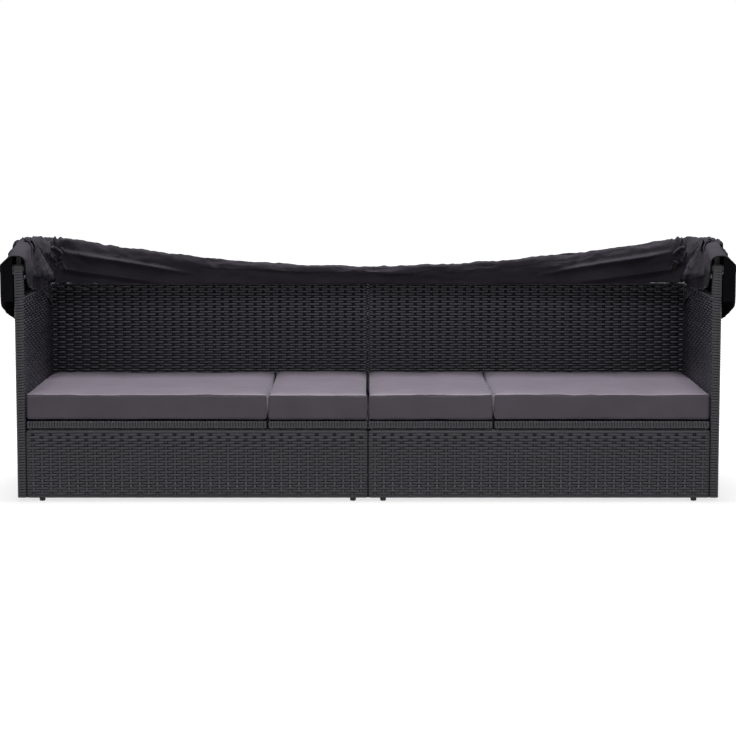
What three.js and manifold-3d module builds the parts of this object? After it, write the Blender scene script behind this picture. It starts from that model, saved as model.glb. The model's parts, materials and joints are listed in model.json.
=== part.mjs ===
// Outdoor daybed with a folding canopy. Two woven halves stand side by side under four cushions, the
// two end decks tilt up on hinges, and a cloth canopy on three bows lies folded over the backrest.
// Millimetres. X runs along the seat, Y from the front to the back and Z up. The origin is on the
// floor under the middle of the daybed.

import * as THREE from "three";
import { mergeVertices } from "three/addons/utils/BufferGeometryUtils.js";
import Module from "manifold-3d";

const wasm = await Module();
wasm.setup();

// Clearances
const SEAT_GAP = 0.3; // between pieces that rest on or against each other
const HINGE_GAP = 0.5; // between turning pieces
const BOW_REST_GAP = 2; // from the folded rear bow to the back panel's top
const OVERRUN = 2; // how far a cutting solid runs past the face that it cuts

// Woven body
const BODY_LENGTH = 2000;
const BODY_DEPTH = 600;
const BODY_TOP = 584;
const PANEL_THICKNESS = 24;
const PANEL_EDGE_RADIUS = 6;
const PANEL_RIM = 26;
const WEAVE_INSET = 2.5; // how far the woven field lies behind the wrapped rim
const HALVES_GAP = 0.6; // between the two halves, at the middle
const SKIRT_TOP = 204;
const SKIRT_SETBACK = 2;

// Feet
const FOOT_HEIGHT = 10;
const FOOT_RADIUS = 8.5;
const FOOT_LIP = 2;
const FOOT_OUTER_INSET = 68; // from the end of the daybed to the foot's centre
const FOOT_MIDDLE_INSET = 43; // from the middle of the daybed to the foot's centre
const FOOT_DEPTH_INSET = 14; // from the front or back face to the foot's centre

// Rails under the decks
const RAIL_SIZE = 20;
const RAIL_WALL = 1.5;
const CROSS_RAIL_WIDTH = 30;

// Decks
const DECK_UNDERSIDE = 209;
const DECK_HEIGHT = 20.5;
const DECK_RIM = 24;
const DECK_SETBACK = 4;
const DECK_EDGE_RADIUS = 4;
const DECK_FIELD = 6;
const DECK_FIELD_DROP = 3;
const DECK_RIB_WIDTH = 18;
const DECK_RIB_PITCH = 215;
const DECK_END_GAP = 2; // to the side panels and the back panel
const LEFT_SEAM_X = -286.5;
const RIGHT_SEAM_X = 357.5;
const SEAM_GAP = 3;
const STUD_RADIUS = 7;
const STUD_INSET = 12;

// Deck hinges
const KNUCKLE_RADIUS = 3.2;
const KNUCKLE_LENGTH = 14;
const HINGE_PIN_RADIUS = 1.5;
const LEAF_THICKNESS = 1.3;
const LEAF_WIDTH = 19;
const HINGE_INSET = 70; // from the deck's front or back edge to the hinge's centre
const HINGE_RISE = 0.5; // from the deck's top to the hinge's axis

// Cushions
const CUSHION_HEIGHT = 71;
const CUSHION_CROWN = 5;
const CUSHION_EDGE_RADIUS = 10;
const CUSHION_SIDE_DRAW = 4; // how far the middle of each side is drawn in
const CUSHION_FRONT_SETBACK = 6;
const CUSHION_BACK_GAP = 5;
const CUSHION_END_GAP = 2;

// Canopy posts and pivots
const PIVOT_RISE = 81; // from the body's top to the pivot
const POST_WIDTH = 24;
const BOLT_RADIUS = 4;
const BOLT_HEAD_RADIUS = 9;
const BOLT_HEAD_HEIGHT = 3;
const EYE_RADIUS = 11;
const EYE_LENGTH = 11.6;

// Canopy bows: nested, the front bow innermost
const BOW_TUBE_RADIUS = 6;
const BOW_PITCH = 13;
const BOW_FIRST_OFFSET = 7.5; // from the body's end to the front bow's leg
const CANOPY_BACK_INSET = 12; // from the body's back face to the rear bow's centre line
const BOW_CORNER_RADIUS = 85;
const BOW_CROWN_RADIUS = 15500;

// Canopy cloth, folded
const CLOTH_THICKNESS = 3;
const PLEAT_WIDTH = 12;
const REAR_PLEAT_WIDTH = 3.4;
const ROLL_INNER_REACH = 45; // from the front bow's centre line inwards
const ROLL_DROP = 12; // how far the front roll hangs under the bow's centre line
const FOLD_HEIGHT_MIDDLE = 33;
const FOLD_HEIGHT_CORNER = 104;
const FOLD_HEIGHT_POST = 84;
const FOLD_RIPPLE = 2.5;
const FOLD_RIPPLE_LENGTH = 118;
const FLAP_FRONT = 11; // in front of the pivot
const FLAP_BACK = 122; // behind the pivot
const FLAP_CROWN = 37; // above the pivot
const FLAP_SHOULDER_INSET = 30; // from the flap's outer face to the outer edge of its crown
const FLAP_SHOULDER_RISE = 11; // from the pivot to where the shoulder starts
const FLAP_INNER_DROP = 62;
const FLAP_INNER_SLANT = 105; // how far the inner side's front edge runs back as it falls
const FLAP_INNER_TOP = 19; // from the pivot to the top of that edge
const VALANCE_REACH = 585; // how far the flap's outer side runs back from the pivot
const VALANCE_FRONT_DROP = 105; // from the pivot down to its lower front corner
const VALANCE_BACK_DROP = 185;
const VALANCE_TOP_RISE = 20; // from the bows' plane up to its back upper corner
const LEG_FILL_LENGTH = 250; // over which a fold grows to its full height along a leg
const MIDDLE_START_SHARE = 0.92;
const REAR_START_SHARE = 0.6;
const FIXED_START_SHARE = 0.35;
const FIXED_DROP = 4.5; // how far the fixed cloth hangs under the rear bow's centre line
const FLAP_INNER_SETBACK = 9; // from the side panel's inner face
const FLAP_OUTER_OFFSET = 46.5; // from the body's end to the flap's outer face
const FLAP_CORNER_RADIUS = 20;
const GUSSET_FRONT_GAP = 14; // from the flap's back edge
const GUSSET_BACK_GAP = 6; // to the back panel
const GUSSET_FRONT_RISE = 10; // from the body's top up to the gusset's front corner
const GUSSET_BACK_DROP = 77; // from the body's top down to the gusset's back corner

// Bolts that join the halves
const JOINING_BOLT_RADIUS = 3;
const JOINING_BOLT_HEAD = 6;
const JOINING_BOLT_HEIGHT = 148;
const JOINING_BOLT_INSET = 60; // from the inner panel's front or back edge

// Facets
const ROUND_STEPS = 2;
const CORNER_STEPS = 1; // three.js doubles this on an arc
const POST_STEPS = 4;
const FOOT_SIDES = 16;
const PIN_SIDES = 12;
const TUBE_SIDES = 10;
const CLOTH_LEG_STEPS = 7;
const CLOTH_CORNER_STEPS = 6;
const CLOTH_CROWN_STEPS = 30;
const FLAP_STEPS = 6;
const POINT_SPACING = 0.01; // least distance between neighbouring points of a section

// Sizes that follow from the ones above
const HALF_LENGTH = BODY_LENGTH / 2;
const FRONT_Y = -BODY_DEPTH / 2;
const BACK_Y = BODY_DEPTH / 2;
const INNER_X = HALF_LENGTH - PANEL_THICKNESS;
const BACK_FACE_Y = BACK_Y - PANEL_THICKNESS;
const DECK_TOP = DECK_UNDERSIDE + DECK_HEIGHT;
const DECK_FRONT_Y = FRONT_Y + DECK_SETBACK;
const DECK_BACK_Y = BACK_FACE_Y - DECK_END_GAP;
const PIVOT_Y = FRONT_Y + POST_WIDTH / 2;
const PIVOT_HEIGHT = BODY_TOP + PIVOT_RISE;
const LEG_X = HALF_LENGTH + BOW_FIRST_OFFSET;
const REAR_BOW_OFFSET = 2 * BOW_PITCH;
const REAR_BOW_REACH = BACK_Y - CANOPY_BACK_INSET - PIVOT_Y;
const FRONT_BOW_REACH = REAR_BOW_REACH - REAR_BOW_OFFSET;
const FOLDED_DROP = PIVOT_RISE - BOW_TUBE_RADIUS - BOW_REST_GAP;
const FOLDED_ANGLE = Math.asin(FOLDED_DROP / REAR_BOW_REACH);
const SIDES = [
  { name: "left", sign: -1, seam: LEFT_SEAM_X },
  { name: "right", sign: 1, seam: RIGHT_SEAM_X },
];

const FINISHES = {
  weave: new THREE.MeshStandardMaterial({ color: 0x2b2c30, roughness: 0.62, metalness: 0 }),
  steel: new THREE.MeshStandardMaterial({ color: 0x232426, roughness: 0.45, metalness: 0.6 }),
  bolt: new THREE.MeshStandardMaterial({ color: 0xb9babd, roughness: 0.35, metalness: 0.9 }),
  cushion: new THREE.MeshStandardMaterial({ color: 0x4a4549, roughness: 0.85, metalness: 0 }),
  cloth: new THREE.MeshStandardMaterial({ color: 0x2c292d, roughness: 0.9, metalness: 0 }),
  foot: new THREE.MeshStandardMaterial({ color: 0x1d1d1f, roughness: 0.7, metalness: 0 }),
};

const daybed = new THREE.Group();

// Booleans

function toSolid(geometry) {
  const bare = geometry.clone();
  bare.deleteAttribute("normal");
  bare.deleteAttribute("uv");
  const merged = mergeVertices(bare, 1e-4);
  return new wasm.Manifold(
    new wasm.Mesh({
      numProp: 3,
      vertProperties: new Float32Array(merged.attributes.position.array),
      triVerts: new Uint32Array(merged.index.array),
    }),
  );
}

function toGeometry(solid) {
  const mesh = solid.getMesh();
  return new THREE.BufferGeometry()
    .setAttribute("position", new THREE.BufferAttribute(mesh.vertProperties, 3))
    .setIndex(new THREE.BufferAttribute(mesh.triVerts, 1));
}

function joined(geometries) {
  const solids = geometries.map(toSolid);
  return toGeometry(solids.slice(1).reduce((sum, solid) => sum.add(solid), solids[0]));
}

function cut(geometry, cutters) {
  return toGeometry(
    cutters.map(toSolid).reduce((rest, solid) => rest.subtract(solid), toSolid(geometry)),
  );
}

function place(parent, name, geometry, finish) {
  const mesh = new THREE.Mesh(geometry, FINISHES[finish]);
  mesh.name = name;
  parent.add(mesh);
  return mesh;
}

// Basic forms

// A box given by its low and high corners.
function boxBetween(low, high) {
  const size = high.map((value, axis) => value - low[axis]);
  const centre = high.map((value, axis) => (value + low[axis]) / 2);
  return new THREE.BoxGeometry(...size).translate(...centre);
}

function roundedRectangle(width, height, radius) {
  const shape = new THREE.Shape();
  const x = width / 2;
  const y = height / 2;
  shape.moveTo(-x + radius, -y);
  shape.lineTo(x - radius, -y);
  shape.absarc(x - radius, -y + radius, radius, -Math.PI / 2, 0);
  shape.lineTo(x, y - radius);
  shape.absarc(x - radius, y - radius, radius, 0, Math.PI / 2);
  shape.lineTo(-x + radius, y);
  shape.absarc(-x + radius, y - radius, radius, Math.PI / 2, Math.PI);
  shape.lineTo(-x, -y + radius);
  shape.absarc(-x + radius, -y + radius, radius, Math.PI, 1.5 * Math.PI);
  return shape;
}

// A flat slab in the XY plane, centred, with its edges rounded all round.
function roundedSlab(width, height, thickness, radius) {
  const depth = thickness - 2 * radius;
  return new THREE.ExtrudeGeometry(roundedRectangle(width, height, radius), {
    depth,
    bevelEnabled: true,
    bevelThickness: radius,
    bevelSize: radius / 2,
    bevelOffset: -radius / 2,
    bevelSegments: ROUND_STEPS,
    curveSegments: CORNER_STEPS,
  }).translate(0, 0, -depth / 2);
}

// A cylinder between two places on a line along X, Y or Z.
function rod(axis, from, to, radius, sides) {
  const turned = new THREE.CylinderGeometry(radius, radius, to - from, sides);
  if (axis === "x") turned.rotateZ(-Math.PI / 2);
  if (axis === "z") turned.rotateX(Math.PI / 2);
  const middle = (from + to) / 2;
  return turned.translate(
    axis === "x" ? middle : 0,
    axis === "y" ? middle : 0,
    axis === "z" ? middle : 0,
  );
}

// A woven panel in the XY plane: a wrapped tube frame with the weave set back on both faces.
function wovenPanel(width, height) {
  const slab = roundedSlab(width, height, PANEL_THICKNESS, PANEL_EDGE_RADIUS);
  const x = width / 2 - PANEL_RIM;
  const y = height / 2 - PANEL_RIM;
  const face = PANEL_THICKNESS / 2;
  const pockets = [-1, 1].map((side) => {
    const from = side * (face - WEAVE_INSET);
    const to = side * (face + OVERRUN);
    return boxBetween([-x, -y, Math.min(from, to)], [x, y, Math.max(from, to)]);
  });
  return cut(slab, pockets);
}

// Woven body

function sidePanel({ name, sign }) {
  const depth = BACK_FACE_Y - SEAT_GAP - FRONT_Y;
  const height = BODY_TOP - FOOT_HEIGHT;
  const panel = place(daybed, `side_panel_${name}`, wovenPanel(depth, height), "weave");
  panel.rotation.set(Math.PI / 2, 0, Math.PI / 2, "ZXY");
  panel.position.set(
    sign * (HALF_LENGTH - PANEL_THICKNESS / 2),
    FRONT_Y + depth / 2,
    FOOT_HEIGHT + height / 2,
  );
}

function backPanel({ name, sign }) {
  const width = HALF_LENGTH - HALVES_GAP / 2;
  const height = BODY_TOP - FOOT_HEIGHT;
  const panel = place(daybed, `back_panel_${name}`, wovenPanel(width, height), "weave");
  panel.rotation.x = Math.PI / 2;
  panel.position.set(
    sign * (HALVES_GAP / 2 + width / 2),
    BACK_Y - PANEL_THICKNESS / 2,
    FOOT_HEIGHT + height / 2,
  );
}

function frontSkirt({ name, sign }) {
  const width = INNER_X - SEAT_GAP - HALVES_GAP / 2;
  const height = SKIRT_TOP - FOOT_HEIGHT;
  const panel = place(daybed, `front_skirt_${name}`, wovenPanel(width, height), "weave");
  panel.rotation.x = Math.PI / 2;
  panel.position.set(
    sign * (HALVES_GAP / 2 + width / 2),
    FRONT_Y + SKIRT_SETBACK + PANEL_THICKNESS / 2,
    FOOT_HEIGHT + height / 2,
  );
}

const SKIRT_BACK_Y = FRONT_Y + SKIRT_SETBACK + PANEL_THICKNESS;
const INSIDE_FRONT_Y = SKIRT_BACK_Y + SEAT_GAP;
const INSIDE_BACK_Y = BACK_FACE_Y - SEAT_GAP;
const INNER_PANEL_X = HALVES_GAP / 2 + PANEL_THICKNESS;
const JOINING_BOLT_PLACES = [
  ["front", INSIDE_FRONT_Y + JOINING_BOLT_INSET],
  ["back", INSIDE_BACK_Y - JOINING_BOLT_INSET],
];

// The panel at the middle of the daybed that closes each half under the deck.
function innerPanel({ name, sign }) {
  const depth = INSIDE_BACK_Y - INSIDE_FRONT_Y;
  const height = SKIRT_TOP - FOOT_HEIGHT;
  const reach = PANEL_THICKNESS / 2 + OVERRUN;
  const bores = JOINING_BOLT_PLACES.map(([, y]) =>
    rod("z", -reach, reach, JOINING_BOLT_RADIUS + SEAT_GAP, PIN_SIDES).translate(
      y - INSIDE_FRONT_Y - depth / 2,
      JOINING_BOLT_HEIGHT - FOOT_HEIGHT - height / 2,
      0,
    ),
  );
  const closed = cut(wovenPanel(depth, height), bores);
  const panel = place(daybed, `inner_panel_${name}`, closed, "weave");
  panel.rotation.set(Math.PI / 2, 0, Math.PI / 2, "ZXY");
  panel.position.set(
    sign * (HALVES_GAP / 2 + PANEL_THICKNESS / 2),
    INSIDE_FRONT_Y + depth / 2,
    FOOT_HEIGHT + height / 2,
  );
}

function foot(side, x, y, label) {
  const profile = [
    [0, 0],
    [FOOT_RADIUS - FOOT_LIP, 0],
    [FOOT_RADIUS, FOOT_LIP],
    [FOOT_RADIUS, FOOT_HEIGHT - FOOT_LIP],
    [FOOT_RADIUS - FOOT_LIP, FOOT_HEIGHT - SEAT_GAP],
    [0, FOOT_HEIGHT - SEAT_GAP],
  ].map(([radius, height]) => new THREE.Vector2(radius, height));
  const turned = new THREE.LatheGeometry(profile, FOOT_SIDES).rotateX(Math.PI / 2);
  place(daybed, `foot_${side.name}_${label}`, turned, "foot").position.set(side.sign * x, y, 0);
}

function feet(side) {
  const rows = [
    ["front", FRONT_Y + FOOT_DEPTH_INSET],
    ["back", BACK_Y - FOOT_DEPTH_INSET],
  ];
  for (const [row, y] of rows) {
    foot(side, HALF_LENGTH - FOOT_OUTER_INSET, y, `${row}_outer`);
    foot(side, FOOT_MIDDLE_INSET, y, `${row}_middle`);
  }
}

// A square steel tube, open at both ends, given by the low and high corners of its outside.
function squareTube(low, high, axis) {
  const hollowLow = low.map((value, i) => (i === axis ? value - OVERRUN : value + RAIL_WALL));
  const hollowHigh = high.map((value, i) => (i === axis ? value + OVERRUN : value - RAIL_WALL));
  return cut(boxBetween(low, high), [boxBetween(hollowLow, hollowHigh)]);
}

const RAIL_FROM_Z = SKIRT_TOP - RAIL_SIZE;

// The steel tubes inside the base that carry the decks.
function deckRails({ name, sign, seam }) {
  const outer = INNER_X - SEAT_GAP;
  const inner = INNER_PANEL_X + SEAT_GAP;
  const span = (a, b) => [Math.min(sign * a, sign * b), Math.max(sign * a, sign * b)];
  const [rearFrom, rearTo] = span(inner, outer);
  const rearY = INSIDE_BACK_Y - RAIL_SIZE;
  place(
    daybed,
    `rear_rail_${name}`,
    squareTube([rearFrom, rearY, RAIL_FROM_Z], [rearTo, INSIDE_BACK_Y, SKIRT_TOP], 0),
    "steel",
  );
  const [sideFrom, sideTo] = span(outer - RAIL_SIZE, outer);
  const crossBack = rearY - SEAT_GAP;
  place(
    daybed,
    `side_rail_${name}`,
    squareTube([sideFrom, INSIDE_FRONT_Y, RAIL_FROM_Z], [sideTo, crossBack, SKIRT_TOP], 1),
    "steel",
  );
  const half = CROSS_RAIL_WIDTH / 2;
  place(
    daybed,
    `cross_rail_${name}`,
    squareTube(
      [seam - half, INSIDE_FRONT_Y, RAIL_FROM_Z],
      [seam + half, crossBack, SKIRT_TOP],
      1,
    ),
    "steel",
  );
}

function joiningBolt(label, y) {
  const inside = INNER_PANEL_X - WEAVE_INSET + SEAT_GAP;
  const shank = rod("x", -inside, inside, JOINING_BOLT_RADIUS, PIN_SIDES);
  const heads = [-1, 1].map((sign) =>
    rod("x", 0, JOINING_BOLT_RADIUS, JOINING_BOLT_HEAD, PIN_SIDES).translate(
      sign < 0 ? -inside - JOINING_BOLT_RADIUS : inside,
      0,
      0,
    ),
  );
  const bolt = place(daybed, `joining_bolt_${label}`, joined([shank, ...heads]), "bolt");
  bolt.position.set(0, y, JOINING_BOLT_HEIGHT);
  return bolt;
}

// Decks

const HINGE_Z = DECK_TOP + HINGE_RISE;
const HINGE_CENTRES = [DECK_FRONT_Y + HINGE_INSET, DECK_BACK_Y - HINGE_INSET];
const HINGE_HALF_LENGTH = 1.5 * KNUCKLE_LENGTH + HINGE_GAP;

// One deck: a wrapped frame with ribs across it, the woven field near its top, and studs below.
function deckGeometry(fromX, toX, hingedEnds) {
  const width = toX - fromX;
  const depth = DECK_BACK_Y - DECK_FRONT_Y;
  const middleX = (fromX + toX) / 2;
  const middleY = (DECK_FRONT_Y + DECK_BACK_Y) / 2;
  const slab = roundedSlab(width, depth, DECK_HEIGHT, DECK_EDGE_RADIUS).translate(
    middleX,
    middleY,
    DECK_UNDERSIDE + DECK_HEIGHT / 2,
  );
  const lowX = fromX + DECK_RIM;
  const highX = toX - DECK_RIM;
  const lowY = DECK_FRONT_Y + DECK_RIM;
  const highY = DECK_BACK_Y - DECK_RIM;
  const fieldTop = DECK_TOP - DECK_FIELD_DROP;
  const cuts = [boxBetween([lowX, lowY, fieldTop], [highX, highY, DECK_TOP + OVERRUN])];
  const bays = Math.max(1, Math.round((highX - lowX) / DECK_RIB_PITCH));
  const bay = (highX - lowX - (bays - 1) * DECK_RIB_WIDTH) / bays;
  for (let i = 0; i < bays; i += 1) {
    const x = lowX + i * (bay + DECK_RIB_WIDTH);
    const low = [x, lowY, DECK_UNDERSIDE - OVERRUN];
    cuts.push(boxBetween(low, [x + bay, highY, fieldTop - DECK_FIELD]));
  }
  for (const end of hingedEnds) {
    for (const y of HINGE_CENTRES) cuts.push(leafMortise(end, y), barrelRecess(end, y));
  }
  const studX = [fromX + STUD_INSET, toX - STUD_INSET];
  const studY = [DECK_FRONT_Y + STUD_INSET, DECK_BACK_Y - STUD_INSET];
  const studs = studX.flatMap((x) =>
    studY.map((y) =>
      rod("z", SKIRT_TOP + SEAT_GAP, DECK_UNDERSIDE + OVERRUN, STUD_RADIUS, PIN_SIDES).translate(
        x,
        y,
        0,
      ),
    ),
  );
  return joined([cut(slab, cuts), ...studs]);
}

// The shallow recess in a deck's top for one hinge leaf. The sign tells on which side of the seam.
function leafMortise({ seam, sign }, y) {
  const reach = LEAF_WIDTH + SEAT_GAP;
  const half = HINGE_HALF_LENGTH + SEAT_GAP;
  const floor = DECK_TOP - LEAF_THICKNESS - SEAT_GAP;
  const far = seam + sign * reach;
  return boxBetween(
    [Math.min(seam, far), y - half, floor],
    [Math.max(seam, far), y + half, DECK_TOP + OVERRUN],
  );
}

// The groove in a deck's edge that the hinge's barrel turns in.
function barrelRecess({ seam }, y) {
  const reach = KNUCKLE_RADIUS + HINGE_GAP;
  const half = HINGE_HALF_LENGTH + SEAT_GAP;
  return boxBetween(
    [seam - reach, y - half, HINGE_Z - reach],
    [seam + reach, y + half, DECK_TOP + OVERRUN],
  );
}

// A hinge leaf lies in its recess and carries the knuckles at the given places along the pin.
function hingeLeaf(seam, sign, y, knuckles, hasPin) {
  const top = DECK_TOP;
  const bottom = top - LEAF_THICKNESS;
  const near = seam + sign * (SEAM_GAP / 2);
  const far = seam + sign * LEAF_WIDTH;
  const barrelClearance = KNUCKLE_RADIUS + HINGE_GAP;
  const plateNear = seam + sign * barrelClearance;
  const plate = boxBetween(
    [Math.min(plateNear, far), y - HINGE_HALF_LENGTH, bottom],
    [Math.max(plateNear, far), y + HINGE_HALF_LENGTH, top],
  );
  const solids = [plate];
  for (const [from, to] of knuckles) {
    solids.push(
      rod("y", y + from, y + to, KNUCKLE_RADIUS, PIN_SIDES).translate(seam, 0, HINGE_Z),
      boxBetween(
        [Math.min(near, far), y + from, bottom],
        [Math.max(near, far), y + to, top],
      ),
    );
  }
  const length = HINGE_HALF_LENGTH;
  if (hasPin) {
    const pin = rod("y", y - length, y + length, HINGE_PIN_RADIUS, PIN_SIDES);
    return joined([...solids, pin.translate(seam, 0, HINGE_Z)]);
  }
  const bore = rod(
    "y",
    y - length,
    y + length,
    HINGE_PIN_RADIUS + SEAT_GAP,
    PIN_SIDES,
  ).translate(seam, 0, HINGE_Z);
  return cut(joined(solids), [bore]);
}

function deckHinges({ name, sign, seam }) {
  const half = KNUCKLE_LENGTH / 2;
  const outside = [
    [-HINGE_HALF_LENGTH, -half - HINGE_GAP],
    [half + HINGE_GAP, HINGE_HALF_LENGTH],
  ];
  HINGE_CENTRES.forEach((y, i) => {
    const row = ["front", "back"][i];
    const fixed = hingeLeaf(seam, -sign, y, outside, true);
    const moving = hingeLeaf(seam, sign, y, [[-half, half]], false);
    place(daybed, `hinge_leaf_fixed_${name}_${row}`, fixed, "steel");
    place(daybed, `hinge_leaf_moving_${name}_${row}`, moving, "steel");
  });
}

function decks({ name, sign, seam }) {
  const end = sign * (INNER_X - DECK_END_GAP);
  const middle = sign * (HALVES_GAP / 2);
  const longEdge = seam + sign * (SEAM_GAP / 2);
  const shortEdge = seam - sign * (SEAM_GAP / 2);
  place(
    daybed,
    `end_deck_${name}`,
    deckGeometry(Math.min(end, longEdge), Math.max(end, longEdge), [{ seam, sign }]),
    "weave",
  );
  place(
    daybed,
    `middle_deck_${name}`,
    deckGeometry(Math.min(middle, shortEdge), Math.max(middle, shortEdge), [
      { seam, sign: -sign },
    ]),
    "weave",
  );
}

// Closed surface through a run of rings, each the same number of points in order round the section.
function sweptRings(rings, capOutline) {
  const count = rings[0].length;
  const positions = rings.flat().flatMap((point) => [point.x, point.y, point.z]);
  const faces = [];
  for (let i = 0; i + 1 < rings.length; i += 1) {
    for (let j = 0; j < count; j += 1) {
      const a = i * count + j;
      const b = i * count + ((j + 1) % count);
      faces.push(a, b, a + count, b, b + count, a + count);
    }
  }
  const cap = THREE.ShapeUtils.triangulateShape(capOutline, []);
  const last = (rings.length - 1) * count;
  for (const [a, b, c] of cap) {
    faces.push(a, c, b);
    faces.push(last + a, last + b, last + c);
  }
  const geometry = new THREE.BufferGeometry();
  geometry.setAttribute("position", new THREE.Float32BufferAttribute(positions, 3));
  geometry.setIndex(faces);
  return geometry;
}

// Cushions

// Heights and insets round a cushion's section from its underside to its crown, as shares of the
// edge radius, the side's height and the crown.
const CUSHION_RINGS = 5;
const CROWN_SHARES = [0.55, 0.85, 1];
const CROWN_INSET_SHARES = [0.06, 0.2, 0.42];
const CUSHION_EDGE_STEPS = 4;

// Rounded outline of one level of a cushion, its sides drawn in towards their middles.
function cushionOutline(width, depth, inset, draw) {
  const halfX = width / 2 - inset;
  const halfY = depth / 2 - inset;
  const radius = Math.max(CUSHION_EDGE_RADIUS - inset / 2, CUSHION_EDGE_RADIUS / 2);
  const corners = [
    [1, 1, 0],
    [-1, 1, 1],
    [-1, -1, 2],
    [1, -1, 3],
  ];
  const points = [];
  for (const [signX, signY, quarter] of corners) {
    for (let k = 0; k <= CUSHION_EDGE_STEPS; k += 1) {
      const angle = ((quarter + k / CUSHION_EDGE_STEPS) * Math.PI) / 2;
      points.push([
        signX * (halfX - radius) + radius * Math.cos(angle),
        signY * (halfY - radius) + radius * Math.sin(angle),
      ]);
    }
    const alongX = quarter % 2 === 0;
    for (const share of CUSHION_SIDE_SHARES) {
      const sweep = 1 - 2 * share;
      const drawIn = draw * (1 - sweep * sweep);
      const x = alongX ? signX * sweep * (halfX - radius) : signX * (halfX - drawIn);
      const y = alongX ? signY * (halfY - drawIn) : signY * sweep * (halfY - radius);
      points.push([x, y]);
    }
  }
  return points;
}

const CUSHION_SIDE_SHARES = [0.2, 0.4, 0.6, 0.8];

function cushionGeometry(width, depth) {
  const levels = [];
  for (let k = 0; k <= CUSHION_RINGS; k += 1) {
    const angle = (k / CUSHION_RINGS) * Math.PI;
    const side = Math.sin(angle);
    levels.push({
      inset: CUSHION_EDGE_RADIUS * (1 - Math.sqrt(side)) * (k % CUSHION_RINGS === 0 ? 1 : 0.5),
      height: (CUSHION_HEIGHT * k) / CUSHION_RINGS,
      draw: CUSHION_SIDE_DRAW * side,
    });
  }
  const shortSide = Math.min(width, depth);
  CROWN_SHARES.forEach((share, k) => {
    levels.push({
      inset: CUSHION_EDGE_RADIUS + shortSide * CROWN_INSET_SHARES[k],
      height: CUSHION_HEIGHT + CUSHION_CROWN * share,
      draw: 0,
    });
  });
  const rings = levels.map(({ inset, height, draw }) =>
    cushionOutline(width, depth, inset, draw).map(([x, y]) => new THREE.Vector3(x, y, height)),
  );
  const outline = rings[0].map(({ x, y }) => new THREE.Vector2(x, y));
  return sweptRings(rings, outline);
}

function cushion(name, fromX, toX) {
  const fromY = FRONT_Y + CUSHION_FRONT_SETBACK;
  const toY = BACK_FACE_Y - CUSHION_BACK_GAP;
  const pad = place(daybed, name, cushionGeometry(toX - fromX, toY - fromY), "cushion");
  pad.position.set((fromX + toX) / 2, (fromY + toY) / 2, DECK_TOP + SEAT_GAP);
}

function cushions({ name, sign, seam }) {
  const edges = [
    ["end_cushion", seam, sign * (INNER_X - SEAT_GAP)],
    ["middle_cushion", 0, seam],
  ];
  for (const [label, a, b] of edges) {
    const gap = CUSHION_END_GAP / 2;
    cushion(`${label}_${name}`, Math.min(a, b) + gap, Math.max(a, b) - gap);
  }
}

// Canopy. The bows lie in planes through the pivots' common axis, so each is drawn in its own plane:
// x across the daybed, u along the legs away from the pivots, and n square to the plane.

// Places along the front bow's centre line, from its right leg to its left leg, with the outward
// direction there. The other bows are offset outwards from it.
function bowStations(legFrom, legSteps, cornerSteps, crownSteps) {
  const crownCentre = FRONT_BOW_REACH - BOW_CROWN_RADIUS;
  const cornerX = LEG_X - BOW_CORNER_RADIUS;
  const inner = BOW_CROWN_RADIUS - BOW_CORNER_RADIUS;
  const cornerU = crownCentre + Math.sqrt(inner * inner - cornerX * cornerX);
  const crownAngle = Math.asin(cornerX / inner);
  const half = [];
  for (let i = 0; i < legSteps; i += 1) {
    half.push({ x: LEG_X, u: legFrom + ((cornerU - legFrom) * i) / legSteps, nx: 1, nu: 0 });
  }
  for (let i = 0; i < cornerSteps; i += 1) {
    const angle = ((Math.PI / 2 - crownAngle) * i) / cornerSteps;
    const nx = Math.cos(angle);
    const nu = Math.sin(angle);
    half.push({ x: cornerX + BOW_CORNER_RADIUS * nx, u: cornerU + BOW_CORNER_RADIUS * nu, nx, nu });
  }
  const crown = [];
  for (let i = 0; i <= crownSteps; i += 1) {
    const angle = crownAngle * (1 - (2 * i) / crownSteps);
    const nx = Math.sin(angle);
    const nu = Math.cos(angle);
    crown.push({ x: BOW_CROWN_RADIUS * nx, u: crownCentre + BOW_CROWN_RADIUS * nu, nx, nu });
  }
  const mirrored = half.map((place) => ({ ...place, x: -place.x, nx: -place.nx })).reverse();
  return [...half, ...crown, ...mirrored];
}

// A bow's round tube, swept along its centre line.
function bowTube(offset) {
  const places = bowStations(0, 1, CLOTH_CORNER_STEPS, CLOTH_CROWN_STEPS).reverse();
  const section = [];
  for (let k = 0; k < TUBE_SIDES; k += 1) {
    const angle = (2 * Math.PI * k) / TUBE_SIDES;
    section.push(
      new THREE.Vector2(BOW_TUBE_RADIUS * Math.cos(angle), BOW_TUBE_RADIUS * Math.sin(angle)),
    );
  }
  const rings = places.map(({ x, u, nx, nu }) =>
    section.map(
      (point) =>
        new THREE.Vector3(x + nx * (offset + point.x), u + nu * (offset + point.x), point.y),
    ),
  );
  return sweptRings(rings, section);
}

function bowGeometry(offset) {
  const tube = bowTube(offset);
  const x = LEG_X + offset;
  const half = EYE_LENGTH / 2;
  const eyes = [-x, x].map((at) => rod("x", at - half, at + half, EYE_RADIUS, PIN_SIDES));
  const bore = BOLT_RADIUS + HINGE_GAP;
  const bores = [-x, x].map((at) =>
    rod("x", at - half - OVERRUN, at + half + OVERRUN, bore, PIN_SIDES),
  );
  return cut(joined([tube, ...eyes]), bores);
}

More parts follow.
